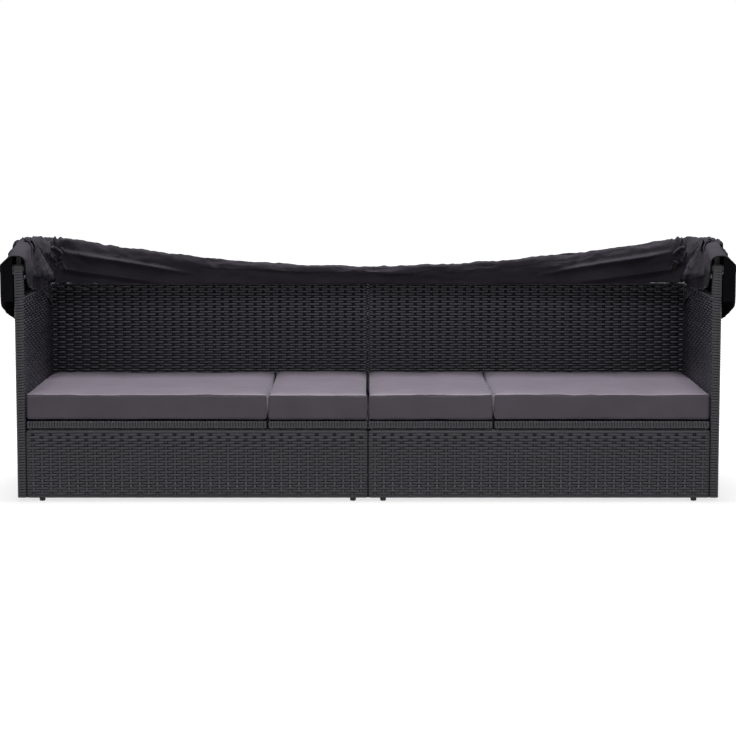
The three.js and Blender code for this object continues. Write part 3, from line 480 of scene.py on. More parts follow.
def wrapped_post(name, node):
    """A post wound with strip, row on row."""
    low, high = low_high(node)
    loop = plan_loop(low[0], high[0], low[1], high[1], 0)
    cover = Ribbons()
    for row in range(int((PIVOT_Z - low[2]) / ROW_PITCH)):
        add_row(cover, "x", loop, low[2] + ROW_PITCH * (row + 0.5), RIM_LIFT)
    cover.piece(name, "base")


def deck_edge(name, node, body):
    """Strip wound round a deck's front rim, turn beside turn."""
    low, high = low_high(node)
    front, top, r = low[1], high[2], DECK_EDGE
    arc = (r + DECK_LIFT) * HALF_TURN
    profile = [
        (front + DECK_WRAP, top + DECK_LIFT, 0, 1), (front + r, top + DECK_LIFT, 0, 1),
        (front + r - arc, top - r + arc, -HALF_TURN, HALF_TURN),
        (front - DECK_LIFT, top - r, -1, 0), (front - DECK_LIFT, top - DECK_RIM / 2, -1, 0),
        (front - DECK_LIFT, top - DECK_RIM + r, -1, 0),
        (front + r - arc, top - DECK_RIM + r - arc, -HALF_TURN, -HALF_TURN),
        (front + r, top - DECK_RIM - DECK_LIFT, 0, -1),
    ]
    y, z, out_y, out_z = np.array(profile).T
    length = high[0] - low[0] - 2 * JOINT_INSET
    turns = round(length / ROW_PITCH)
    pitch = length / turns
    cover = Ribbons()
    for turn in range(turns):
        x = low[0] + JOINT_INSET + pitch * (turn + 0.5)
        sway = random.uniform(-0.0001, 0.0002)
        places = points_from(x, y + sway * out_y, z + sway * out_z)
        cover.add(
            places, points_from(0, out_y, out_z), AXES[0], False, width=pitch * DECK_COVERED
        )
    cover.piece(name, body)


for side, sign in SIDES:
    woven_cover(f"weave_back_{side}", f"back_panel_{side}", "x", (0.0, HALF_INSET)[::-sign])
    woven_cover(f"weave_side_{side}", f"side_panel_{side}", "y", (0.0, JOINT_INSET))
    inset = (JOINT_INSET, HALF_INSET)[::-sign]
    woven_cover(f"weave_skirt_{side}", f"front_skirt_{side}", "x", inset)
    wrapped_post(f"wrap_post_{side}", f"canopy_post_{side}")
    deck_edge(f"strip_end_deck_{side}", f"end_deck_{side}", f"tilt_{side}")
    deck_edge(f"strip_middle_deck_{side}", f"middle_deck_{side}", "base")


# Cushions

CUSHION_EDGE = 0.0085
CUSHION_GRID = 0.012
CUSHION_CAP = 0.005
CUSHION_GAP = 0.0004
CUSHION_CROWN = 0.006
CUSHION_PRESSURE = 4.0
CREASE_TOP = 0.0024
CREASE_FRONT = 0.0016
SIM_FRAMES = 20
SEAM_RADIUS = 0.0011
SEAM_SPACING = 0.01
SEAM_REACH = 0.01


def points_of(mesh):
    points = np.empty(len(mesh.vertices) * 3)
    mesh.vertices.foreach_get("co", points)
    return points.reshape(-1, 3)


def evaluated(piece):
    return piece.evaluated_get(bpy.context.evaluated_depsgraph_get())


def apply_modifiers(piece):
    bpy.context.view_layer.update()
    mesh = bpy.data.meshes.new_from_object(evaluated(piece))
    old = piece.data
    piece.modifiers.clear()
    piece.data = mesh
    bpy.data.meshes.remove(old)


def inflate(piece):
    """Swells a closed mesh with a short cloth simulation, moving no point further than the cap."""
    before = points_of(piece.data)
    settings = piece.modifiers.new("cloth", "CLOTH").settings
    settings.use_pressure = True
    settings.uniform_pressure_force = CUSHION_PRESSURE
    settings.effector_weights.gravity = 0
    settings.quality = 3
    settings.bending_stiffness = 4.0
    for number in range(1, SIM_FRAMES + 1):
        bpy.context.scene.frame_set(number)
    move = points_of(evaluated(piece).data) - before
    piece.modifiers.clear()
    bpy.context.scene.frame_set(1)
    length = np.linalg.norm(move, axis=1, keepdims=True)
    return before + move * np.minimum(1, CUSHION_CAP / np.maximum(length, 1e-9))


def fitted(points, low, high):
    """Stretches points along each axis so that they fill a box, lying flat on its floor."""
    least, most = points.min(axis=0), points.max(axis=0)
    least[2] = np.percentile(points[:, 2], 12)
    spread = (points - least) / (most - least)
    return low + np.maximum(spread, [-1, -1, 0]) * (high - low)


def rounded_box(low, high, radius, spacing):
    """Points and faces of a closed box with rounded edges, its grid finer along them."""
    centre, inner = (low + high) / 2, (high - low) / 2 - radius
    edge = radius * np.array([1.0, 0.6, 0.25])
    lines = []
    for reach in inner:
        flat = np.linspace(-reach, reach, max(2, round(2 * reach / spacing)) + 1)
        lines.append(np.concatenate([-reach - edge, flat, reach + edge[::-1]]))
    known, points, faces = {}, [], []

    def number_of(key):
        if key not in known:
            place = np.array([lines[k][key[k]] for k in range(3)])
            held = np.clip(place, -inner, inner)
            off = place - held
            known[key] = len(points)
            points.append(centre + held + off / np.linalg.norm(off) * radius)
        return known[key]

    for axis in range(3):
        a, b = (axis + 1) % 3, (axis + 2) % 3
        for end in (0, len(lines[axis]) - 1):
            for i in range(len(lines[a]) - 1):
                for j in range(len(lines[b]) - 1):
                    face = []
                    for da, db in ((0, 0), (1, 0), (1, 1), (0, 1)):
                        key = [0, 0, 0]
                        key[axis], key[a], key[b] = end, i + da, j + db
                        face.append(number_of(tuple(key)))
                    faces.append(face if end else face[::-1])
    return np.array(points), faces


def cushion(name, body):
    """An inflated cushion with the shallow creases of a loosely filled cover."""
    low, high = low_high(name)
    centre, half = (low + high) / 2, (high - low) / 2
    points, faces = rounded_box(low, high, CUSHION_EDGE, CUSHION_GRID)
    rides = body if body == "base" else None
    pad = add_mesh(f"pad_{name}", points, faces, rides, COVER)
    moved = inflate(pad)
    sign = -1 if "left" in name else 1
    crease = fractal(moved * [9 * (1 + 0.3 * sign), 5, 14], 0.8, 2.1, 4)
    moved = fitted(moved, low + CUSHION_GAP, high + [-CUSHION_GAP, -CUSHION_GAP, CUSHION_CROWN])
    upper = np.clip((moved[:, 2] - centre[2]) / half[2], 0, 1)
    front = np.clip(-(moved[:, 1] - centre[1]) / half[1], 0, 1) ** 8
    moved[:, 2] += CREASE_TOP * crease * upper
    moved[:, 1] += CREASE_FRONT * np.roll(crease, 7) * front
    moved = np.clip(moved, low + [0.0003, -0.003, 0.0], high + [-0.0003, 0.003, 0.011])
    pad.data.vertices.foreach_set("co", moved.ravel())
    pad.data.update()
    smooth = pad.modifiers.new("smooth", "SUBSURF")
    smooth.levels = smooth.render_levels = 1
    apply_modifiers(pad)
    pad.data.polygons.foreach_set("use_smooth", [True] * len(pad.data.polygons))
    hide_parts(name)
    for piece in [pad] + add_seams(pad, name, low, high, rides):
        if not rides:
            bend_at_hinge(piece)


def bend_at_hinge(piece):
    """Bakes a cushion piece's placement into its points."""
    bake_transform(piece)


def rim_path(half_x, half_y, spacing):
    """Points round a rectangle, closely spaced along every side."""
    corners = [(-half_x, -half_y), (half_x, -half_y), (half_x, half_y), (-half_x, half_y)]
    path = []
    for (x0, y0), (x1, y1) in zip(corners, corners[1:] + corners[:1]):
        steps = round(math.hypot(x1 - x0, y1 - y0) / spacing)
        for i in range(1, steps):
            path.append((x0 + (x1 - x0) * i / steps, y0 + (y1 - y0) * i / steps))
    return path


def add_seams(pad, name, low, high, body):
    """Stitched seams round a cushion, along its upper and lower edges, their cord lighter than the
    cover as a painted highlight.
    """
    centre, half = (low + high) / 2, (high - low) / 2 + SEAM_REACH
    made = []
    for label, height in (("top", high[2] + SEAM_REACH), ("bottom", low[2] - SEAM_REACH)):
        on_pad = [
            pad.closest_point_on_mesh(Vector((centre[0] + x, centre[1] + y, height)))[1]
            for x, y in rim_path(half[0], half[1], SEAM_SPACING)
        ]
        seam = f"seam_{label}_{name}"
        made.append(tube(seam, on_pad, SEAM_RADIUS, body, SEAM_PAINTED_HIGHLIGHT, True))
    return made


def tube_parts(path, radius, closed, sides=6):
    """Points and faces of a round cord along a path, its radius one number or one for each
    place."""
    path = [Vector(p) for p in path]
    number = len(path)
    radii = [float(r) for r in np.broadcast_to(radius, number)]
    points, faces = [], []
    for i, place in enumerate(path):
        before = path[i - 1] if closed or i else path[0]
        after = path[(i + 1) % number] if closed or i + 1 < number else path[-1]
        along = (after - before).normalized()
        side = along.cross(Vector((0, 0, 1)))
        side = side.normalized() if side.length > 1e-6 else Vector((1, 0, 0))
        up = side.cross(along)
        for k in range(sides):
            angle = 2 * math.pi * k / sides
            points.append(
                tuple(place + radii[i] * (math.cos(angle) * side + math.sin(angle) * up))
            )
    for i in range(number if closed else number - 1):
        j = (i + 1) % number
        for k in range(sides):
            m = (k + 1) % sides
            faces.append((i * sides + k, j * sides + k, j * sides + m, i * sides + m))
    if not closed:
        faces.append(tuple(range(sides)))
        faces.append(tuple(reversed(range((number - 1) * sides, number * sides))))
    return points, faces


def tube(name, path, radius, body, material, closed):
    """A thin round cord along a path."""
    points, faces = tube_parts(path, radius, closed)
    return add_mesh(name, points, faces, body, material)


for side, _ in SIDES:
    cushion(f"end_cushion_{side}", f"tilt_{side}")
    cushion(f"middle_cushion_{side}", "base")


# Canopy cloth. A place on it is given along a bow, out from the front bow's centre line and up from
# the folded bows' plane.

BOW_RADIUS = 0.006
BOW_PITCH = 0.013
BOW_CLEAR = BOW_RADIUS + 0.0006
CORNER_RADIUS = 0.085
CROWN_RADIUS = 15.5
LEG_START = 0.1249
LEG_FILL = 0.25
PLEAT_WIDTH = 0.0116
ROLL_WIDTH = 0.0392
ROLL_DROP = 0.0118
ROLL_GIRTH = 0.27
FOLD_MIDDLE = 0.037
FOLD_CORNER = 0.117
FOLD_POST = 0.087
STATION_SPACING = 0.0065
LEAF_SPACING = 0.012
LEAF_TURN = BOW_RADIUS + 0.008
RIPPLE = 0.0022
RIDGE_SIZE = 0.07
CREASE_SIZE = 0.03
WANDER_OUT = 0.16
WANDER_UP = 0.13
KEY_STEP = 0.45
SLANT = 3.0
SLANT_SIZE = (0.05, 0.16)
MIDDLE_SAG = 0.35
START_SHARES = {"roll": 1.0, "middle": 0.92, "rear": 0.6, "back": 0.35}
BACK_EDGE_DROP = 0.0045

ROSETTE_KEY = 0.3
ROSETTE_FOLDS = 6
ROSETTE_HEIGHT = 0.009
ROSETTE_RADIUS = 0.045
ROSETTE_HEART = 0.014
ROSETTE_AT = (0.016, 0.02)
GATHER_AT = (0.03, 0.04)
GATHER_RADIUS = 0.11
FRONT_KEYS = 0.5
GATHER_STEPS = 16
GATHER_FROM = (0, -6.52, 1.08)
GATHER_DEPTH = 0.2
GATHER_JUMP = 0.009
GATHER_SHORTEST = 4

FLAP_FRONT = 0.011
FLAP_BACK = 0.122
FLAP_CROWN = 0.0355
FLAP_DROP = 0.0615
FLAP_SLANT = 0.105
FLAP_TOP = 0.019
FLAP_CORNER = 0.02
FLAP_INSET = 0.0085
FLAP_SHADE_DEPTH = 0.016
SHOULDER_INSET = 0.03
SHOULDER_RISE = 0.0105
VALANCE_FRONT_DROP = 0.104
VALANCE_BACK_DROP = 0.184
VALANCE_TURN = 0.62
VALANCE_TAPER = 0.3
VALANCE_TAKEN = 0.68
TURNED_INSIDE = 1.0045
TURNED_GAP = 0.003
TURNED_DROP = 0.09
CHEEK_END = 0.545
CHEEK_LEAD = 0.022
CHEEK_INWARD = 0.0095
CHEEK_HOLLOW = 0.005
CHEEK_SHADE_Z = 0.643
CHEEK_SHADE_SLOPE = 0.0686
CHEEK_SHADE_DEPTH = 0.006
GUSSET_DROP = 0.0412
BINDING_RADIUS = 0.0021
HEM_RADIUS = 0.0026

# The hanging cloth's ruffles: their height, their size, a seed and how they are drawn out along
# the axes.

RUFFLES = {
    "flap": (0.0035, 0.07, 3, (1, 0.6, 1.4)),
    "valance": (0.006, 0.07, 9, (1, 1, 0.3)),
    "cheek": (0.0045, 0.06, 21, (1, 0.7, 1.3)),
    "gusset": (0.005, 0.07, 31, (1, 1, 0.6)),
}

REAR_BOW_LOW, REAR_BOW_HIGH = low_high("bow_rear")
FRONT_BOW_HIGH = low_high("bow_front")[1]
FOLDED_ANGLE = math.atan2(
    PIVOT_Z - BOW_RADIUS - REAR_BOW_LOW[2], REAR_BOW_HIGH[1] - BOW_RADIUS - PIVOT_Y
)
SIN, COS, LEAN = math.sin(FOLDED_ANGLE), math.cos(FOLDED_ANGLE), math.tan(FOLDED_ANGLE)
LEG_X = FRONT_BOW_HIGH[0] - BOW_RADIUS
FRONT_REACH = (FRONT_BOW_HIGH[1] - BOW_RADIUS - PIVOT_Y) / COS
CORNER_X = LEG_X - CORNER_RADIUS
CORNER_U = FRONT_REACH - CROWN_RADIUS + math.sqrt(
    (CROWN_RADIUS - CORNER_RADIUS) ** 2 - CORNER_X**2
)

# Sections of folded cloth, from its lower inner edge over its folds to its lower outer edge: out
# and up, as shares of its width and height.

ROLL_SECTION = [
    (0.66, 0.05), (0.54, 0.0), (0.44, 0.06), (0.38, 0.20), (0.30, 0.36), (0.19, 0.50),
    (0.08, 0.60), (0.01, 0.69), (0.00, 0.79), (0.05, 0.90), (0.17, 0.975),
    (0.29, 0.94), (0.37, 0.84), (0.45, 0.93), (0.55, 1.00), (0.67, 0.97), (0.74, 0.85),
    (0.82, 0.93), (0.91, 0.97), (0.985, 0.84), (1.0, 0.6), (1.0, 0.3), (0.97, 0.05),
]
PLEAT_SECTION = [
    (0.08, 0.0), (0.02, 0.25), (0.0, 0.5), (0.03, 0.8), (0.16, 0.96), (0.34, 0.98),
    (0.5, 0.88), (0.64, 0.97), (0.84, 0.98), (0.97, 0.84), (1.0, 0.5), (0.98, 0.25), (0.92, 0.0),
]
SECTION_FOOT = 0.06

# Long folds across the roll's front, as x and z, with their height and half their width.

ROLL_FOLDS = [
    (
        [
            (0.9315, 0.6873), (0.9071, 0.6797), (0.8368, 0.6674), (0.7297, 0.6505),
            (0.6379, 0.6352), (0.5461, 0.6168), (0.5032, 0.606),
        ],
        0.013, 0.006,
    ),
    (
        [(0.9385, 0.6337), (0.8528, 0.6214), (0.7609, 0.6091), (0.669, 0.5953), (0.6139, 0.586)],
        0.018, 0.0075,
    ),
]

# Small folds where the cloth is gathered at a corner, as x and z, with their radius.

GATHER_FOLDS = [
    (
        [
            (0.9725, 0.6833), (0.9663, 0.694), (0.9586, 0.697), (0.9465, 0.6894),
            (0.9345, 0.6802), (0.9337, 0.6696), (0.9394, 0.6604),
        ],
        0.0054,
    ),
    ([(0.9985, 0.6787), (0.9819, 0.6711), (0.9637, 0.6634), (0.9501, 0.6558)], 0.0056),
    ([(0.9534, 0.6406), (0.9441, 0.6482), (0.9348, 0.6564)], 0.0052),
    ([(0.9349, 0.6558), (0.9275, 0.6406), (0.9216, 0.6253)], 0.0045),
    ([(0.9566, 0.7244), (0.9538, 0.7107), (0.9555, 0.7016)], 0.004),
    ([(0.9725, 0.6833), (0.9682, 0.6711), (0.9607, 0.6619)], 0.0045),
]


def bow_places(spacing=STATION_SPACING):
    """Stations along the front bow: x, reach from the pivot, outward direction, length walked."""
    crown_centre = FRONT_REACH - CROWN_RADIUS
    crown_angle = math.asin(CORNER_X / (CROWN_RADIUS - CORNER_RADIUS))
    legs = round((CORNER_U - LEG_START) / spacing)
    half = [(LEG_X, LEG_START + (CORNER_U - LEG_START) * i / legs, 1, 0) for i in range(legs)]
    turn = math.pi / 2 - crown_angle
    corners = round(CORNER_RADIUS * turn / spacing * 1.3)
    for i in range(corners):
        nx, nu = math.cos(turn * i / corners), math.sin(turn * i / corners)
        half.append((CORNER_X + CORNER_RADIUS * nx, CORNER_U + CORNER_RADIUS * nu, nx, nu))
    crowns = round(CROWN_RADIUS * 2 * crown_angle / spacing)
    angles = crown_angle * np.linspace(1, -1, crowns + 1)
    crown = [
        (CROWN_RADIUS * nx, crown_centre + CROWN_RADIUS * nu, nx, nu)
        for nx, nu in zip(np.sin(angles), np.cos(angles))
    ]
    other = [(-x, u, -nx, nu) for x, u, nx, nu in reversed(half)]
    places = np.array(half + crown + other)
    step = np.hypot(*np.diff(places[:, :2], axis=0).T)
    return np.column_stack([places, np.concatenate([[0], np.cumsum(step)])])


def over_plane(u, up):
    """World y and z at a reach from the pivot and a height over the folded bows' plane."""
    return PIVOT_Y + u * COS + up * SIN, PIVOT_Z - u * SIN + up * COS


def on_canopy(places, out, up):
    """World points for stations with offsets out from the front bow and heights over its plane."""
    x, u, nx, nu = (places[:, k : k + 1] for k in range(4))
    return points_from(x + nx * out, *over_plane(u + nu * out, up))


def fold_height(places, start_share):
    """How high the folded cloth stands along the bows, growing from its share at the posts."""
    across = np.minimum(1, np.abs(places[:, 0]) / CORNER_X)
    on_crown = FOLD_MIDDLE + (FOLD_CORNER - FOLD_MIDDLE) * across**1.8
    along = (places[:, 1] - FLAP_BACK) / (FRONT_REACH - CORNER_RADIUS - FLAP_BACK)
    on_leg = FOLD_POST + (FOLD_CORNER - FOLD_POST) * np.sqrt(np.clip(along, 0, 1))
    grown = np.minimum(1, (places[:, 1] - LEG_START) / LEG_FILL)
    return np.where(across < 1, on_crown, on_leg) * (start_share + (1 - start_share) * grown)


def noise_grid(u, v, seed, octaves=3):
    """Smooth noise read at two arrays of coordinates."""
    return fractal(points_from(u, v, seed), 1.0, 2.0, octaves)


def smooth_path(controls, number):
    """A smooth open path through control points, for every station at once."""
    controls = np.asarray(controls)
    count = controls.shape[1]
    padded = np.concatenate([controls[:, :1], controls, controls[:, -1:]], axis=1)
    t = np.linspace(0, count - 1, number)
    cell = np.minimum(t.astype(int), count - 2)
    f = (t - cell)[None, :, None]
    p0, p1, p2, p3 = (padded[:, cell + k] for k in range(4))
    return 0.5 * (
        2 * p1 + (p2 - p0) * f + (2 * p0 - 5 * p1 + 4 * p2 - p3) * f**2
        + (3 * p1 - p0 - 3 * p2 + p3) * f**3
    )


def grid_piece(name, grid, body, flip=False):
    """A sheet of canopy cloth from a grid of points."""
    index = np.arange(grid[..., 0].size).reshape(grid.shape[:2])
    corners = [index[:-1, :-1], index[1:, :-1], index[1:, 1:], index[:-1, 1:]]
    faces = np.stack(corners[::-1] if flip else corners, axis=-1).reshape(-1, 4)
    return add_mesh(name, grid.reshape(-1, 3), faces, body, CANOPY)


def corner_weight(places):
    """One at the bows' corners, where the cloth gathers, and nothing far from them."""
    x, u = np.abs(places[:, 0:1]), places[:, 1:2]
    away = np.hypot(x - (LEG_X - GATHER_AT[0]), u - (FRONT_REACH - GATHER_AT[1]))
    return np.clip(1.25 - away / GATHER_RADIUS, 0, 1)


def rosette(places, keys):
    """Folds that run together to a point on the roll's inner side at each corner."""
    lift = np.zeros((len(places), keys.shape[1]))
    for sign in (-1, 1):
        heart = (sign * (LEG_X - ROSETTE_AT[0]), FRONT_REACH - ROSETTE_AT[1])
        near = np.argmin(np.hypot(*(places[:, :2] - heart).T))
        along = places[:, 4:5] - places[near, 4]
        around = (keys - ROSETTE_KEY) * ROLL_GIRTH
        radius = np.hypot(along, around)
        twist = 5 * noise_grid(along / 0.05, around / 0.05, 40 + sign, 2)
        folds = np.cos(ROSETTE_FOLDS * np.arctan2(around, along) + twist)
        reach = np.exp(-((radius / ROSETTE_RADIUS) ** 2)) * np.minimum(1, radius / 0.012)
        lift += ROSETTE_HEIGHT * folds * reach
        lift -= 0.5 * ROSETTE_HEIGHT * np.exp(-((radius / ROSETTE_HEART) ** 2))
    return lift


def along_line(points, line):
    """How far points (x, z) lie from a line's nearest piece, and how far along it, from 0 to 1."""
    line = np.asarray(line)
    steps = np.linalg.norm(np.diff(line, axis=0), axis=1)
    start = np.concatenate([[0], np.cumsum(steps)])
    nearest = np.full(points.shape[:-1], np.inf)
    share = np.zeros(points.shape[:-1])
    for i, length in enumerate(steps):
        way = (line[i + 1] - line[i]) / length
        off = points - line[i]
        along = np.clip((off * way).sum(axis=-1), 0, length)
        away = np.linalg.norm(off - along[..., None] * way, axis=-1)
        closer = away < nearest
        nearest = np.where(closer, away, nearest)
        share = np.where(closer, (start[i] + along) / start[-1], share)
    return nearest, share


def press_folds(made, front):
    """Draws the roll's long folds forward out of its front face."""
    plan = np.stack([np.abs(made[:, :, 0]), made[:, :, 2]], axis=2)
    for line, height, width in ROLL_FOLDS:
        away, share = along_line(plan, line)
        fade = np.clip(4 * share + 0.35, 0, 1) * np.clip(3 * (1 - share), 0, 1)
        made[:, :, 1] -= front * height * fade * np.exp(-((away / width) ** 2))


def folded_cloth(
    name, body, section, start, width, bottom, seed, points, wander, wrinkle, start_share
):
    """A length of folded cloth along the bows: its section's folds wander as they run along. The
    front roll is gathered at its corners too."""
    places = bow_places()
    section = np.array(section)
    walked = places[:, 4:5]
    ridges = fractal(points_from(places[:, 4] / RIDGE_SIZE, seed, 0), 0.9, 2, 2)
    creases = [noise.noise(Vector((s / CREASE_SIZE, seed, 3))) for s in places[:, 4]]
    top = fold_height(places, start_share) + RIPPLE * (ridges + 0.6 - 1.7 * np.abs(creases))
    keys = np.arange(len(section)) * KEY_STEP
    gather = corner_weight(places)
    amount = wander * (1 + 0.8 * gather)
    out = section[:, 0] + amount * noise_grid(walked / WANDER_OUT, keys, seed)
    rise = section[:, 1] + 0.8 * amount * noise_grid(walked / WANDER_UP, keys, seed + 5)
    foot = section[:, 1] <= SECTION_FOOT
    rise[:, foot] = section[foot, 1]
    path = smooth_path(np.stack([out, rise], axis=2), points)
    across = np.minimum(1, np.abs(places[:, 0:1]) / CORNER_X)
    bottom = bottom * (1 + MIDDLE_SAG * (1 - across**6))
    offsets = start + width * np.clip(path[:, :, 0], 0, 1)
    ups = bottom + (top[:, None] - bottom) * np.clip(path[:, :, 1], 0, 1.04)
    keys = np.linspace(0, 1, points)[None, :]
    slant = np.sign(places[:, 0:1]) * np.minimum(1, np.abs(places[:, 0:1]) * 2) * SLANT
    slanted = noise_grid(walked / SLANT_SIZE[0] + slant * keys, keys / SLANT_SIZE[1], seed + 11)
    fade = np.sin(np.pi * keys) ** 0.3
    lift = wrinkle * (1 + 1.6 * gather) * (0.5 - np.abs(slanted)) * fade
    is_roll = name == "cloth_front_roll"
    if is_roll:
        lift = lift + rosette(places, keys)
    radial = np.stack([offsets, ups], axis=2)
    radial = radial - radial.mean(axis=1, keepdims=True)
    radial /= np.maximum(np.linalg.norm(radial, axis=2, keepdims=True), 1e-6)
    offsets = np.clip(offsets + lift * radial[:, :, 0], start - 0.001, start + width)
    made = on_canopy(places, offsets, ups + lift * radial[:, :, 1])
    if is_roll:
        press_folds(made, np.clip((FRONT_KEYS - keys) * 12, 0, 1))
    return grid_piece(name, made, body)


def canopy_leaf(name, lower_out, upper_out):
    """The cloth between two bows, folded: it rises beside the upper bow and turns over towards the
    lower one."""
    rows, lip = 22, 4
    share = np.linspace(0, 1, rows)
    outs = [np.full(rows, upper_out), np.linspace(upper_out, lower_out, lip + 1)[1:]]
    ups = [BOW_CLEAR + (LEAF_TURN - BOW_CLEAR) * share, np.full(lip, LEAF_TURN + 0.0004)]
    made = on_canopy(bow_places(LEAF_SPACING), np.concatenate(outs), np.concatenate(ups))
    piece = grid_piece(name, made, None)
    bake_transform(piece)
    return piece


def crumple(piece):
    """Gives a piece of cloth its own copy of its mesh."""
    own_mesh(piece)


def canopy_folds():
    """The folded shares of the canopy cloth, with each one's flat size, hold and rest."""
    roll = folded_cloth(
        "cloth_front_roll", "canopy_front", ROLL_SECTION, -0.045, ROLL_WIDTH - 0.0008,
        -ROLL_DROP, 1.3, 84, 0.1, 0.004, START_SHARES["roll"],
    )
    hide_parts("canopy_roll_front")
    sheets = [(roll, (2.82, 0.275), "gathered", "bow_front")]
    rear = REAR_BOW_HIGH[0] - FRONT_BOW_HIGH[0]
    middle = rear - BOW_PITCH
    for label, out, seed in (("middle", middle, 4.1), ("rear", rear, 7.7)):
        fold = folded_cloth(
            f"cloth_fold_{label}", f"canopy_{label}", PLEAT_SECTION, out - PLEAT_WIDTH / 2,
            PLEAT_WIDTH, BOW_CLEAR, seed, 40, 0.14, 0.0015, START_SHARES[label],
        )
        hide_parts(f"canopy_pleat_{label}")
        sheets.append((fold, (2.85, 0.165), "folded", f"bow_{label}"))
        crumple(fold)
    back = folded_cloth(
        "cloth_back_edge", "base", PLEAT_SECTION, rear + BOW_RADIUS + 0.0005, 0.0032,
        -BACK_EDGE_DROP, 10.4, 36, 0.1, 0.0012, START_SHARES["back"],
    )
    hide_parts("canopy_cloth_fixed")
    sheets.append((back, (2.87, 0.185), "gathered", "back_panel_right"))
    for label, lower, upper, lower_out, upper_out, width in (
        ("back", "base", "canopy_rear", rear + BOW_RADIUS + 0.0015, rear, 0.0147),
        ("rear", "canopy_rear", "canopy_middle", rear, middle, 0.02),
        ("front", "canopy_middle", "canopy_front", middle, 0.0, 0.02),
    ):
        leaf = canopy_leaf(f"cloth_leaf_{label}", lower_out, upper_out)
        sheets.append((leaf, (2.86, width), "folded", upper.replace("canopy", "bow")))
    return sheets


def ruffle(kind, sign, grid, normals, keep=1.0):
    """Moves a grid of points along its normals by soft noise."""
    height, size, seed, stretch = RUFFLES[kind]
    field = fractal(grid * stretch / size + AXES[0] * (seed + sign), 0.9, 2.0, 4)
    return grid + normals * (height * field * keep)[:, :, None]


def grid_normals(grid):
    normals = np.cross(np.gradient(grid, axis=0), np.gradient(grid, axis=1))
    return normals / np.maximum(np.linalg.norm(normals, axis=2, keepdims=True), 1e-9)


def edging(name, path, body="canopy_front", radius=BINDING_RADIUS, material=BINDING):
    """The bound or hemmed edge of a sheet."""
    return tube(name, path, radius, body, material, False)


def flap_path(crown, inside, outside, number):
    """The flap's section at a post, from its inner lower edge over the crown to its outer side."""
    r = FLAP_CORNER
    shoulder = outside - SHOULDER_INSET
    controls = [(inside, -FLAP_DROP * share) for share in (1, 0.6, 0.2)]
    controls += [
        (inside, (crown - r) * 0.5), (inside, crown - r), (inside + 0.08 * r, crown - 0.6 * r),
        (inside + 0.3 * r, crown - 0.28 * r), (inside + 0.62 * r, crown - 0.07 * r),
        (inside + r, crown), (shoulder - 0.004, crown + 0.0006),
    ]
    for share in (0.12, 0.3, 0.5, 0.7, 0.88):
        height = crown + (SHOULDER_RISE - crown) * share + 0.002 * math.sin(math.pi * share)
        controls.append((shoulder + SHOULDER_INSET * share, height))
    controls.append((outside, SHOULDER_RISE - 0.001))
    controls += [(outside + 0.0004, height) for height in (-0.002, -0.012)]
    return smooth_path(np.array([controls]), number)[0]


def flap_front(z, on_inside):
    """Where the flap's free front edge lies at a height, measured from the pivot."""
    t = np.sqrt(np.clip((z + FLAP_DROP) / (FLAP_DROP + FLAP_TOP), 0, 1))
    slanted = FLAP_SLANT * (1 - t) ** 2 - FLAP_FRONT * t**2
    return np.where(on_inside, slanted, -FLAP_FRONT)


def flap(side, sign):
    """The hood of cloth over a post, its long outer valance and their black binding."""
    low, high = low_high("canopy_flap_right")
    inside, outside = low[0] + 0.0015, high[0] - FLAP_INSET
    rise = FOLD_POST - FLAP_BACK * LEAN - FLAP_CROWN - 0.001
    foot = FLAP_BACK * LEAN + ROLL_DROP / COS
    rows, columns = 34, 72
    on_inside = np.arange(columns) < columns / 2
    grid = np.zeros((rows, columns, 3))
    for i, share in enumerate(np.linspace(0, 1, rows)):
        crown = FLAP_CROWN + rise * math.sin(share * math.pi / 2)
        x, z = flap_path(crown, inside, outside, columns).T
        front = flap_front(z, on_inside)
        back = FLAP_BACK + 0.004 + (z + foot) * LEAN
        grid[i] = points_from(x, PIVOT_Y + front + share * (back - front), PIVOT_Z + z)
    keep = np.minimum(1, np.linspace(0, 4, rows))[:, None]
    normals = -grid_normals(grid)
    middle = [(inside + outside) / 2, PIVOT_Y, PIVOT_Z]
    normals *= np.sign((normals * (grid - middle)).sum(axis=2))[:, :, None]
    grid = ruffle("flap", sign, grid, normals, keep)
    grid[:, :, 0] *= sign
    hood = grid_piece(f"cloth_flap_{side}", grid, "canopy_front", sign < 0)
    # Painted shade: the hood's inner leg darkens below the pivot, where it lies in the hood's
    # shadow.
    deep = np.clip((PIVOT_Z - grid[:, :, 2]) / FLAP_SHADE_DEPTH, 0, 1)
    add_values(hood, "painted_shade", (deep * on_inside).ravel())
    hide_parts(f"canopy_flap_{side}")
    valance(side, sign, outside)
    binding = edging(f"binding_flap_{side}", grid[0])
    turned = turned_edge(side, sign, outside)


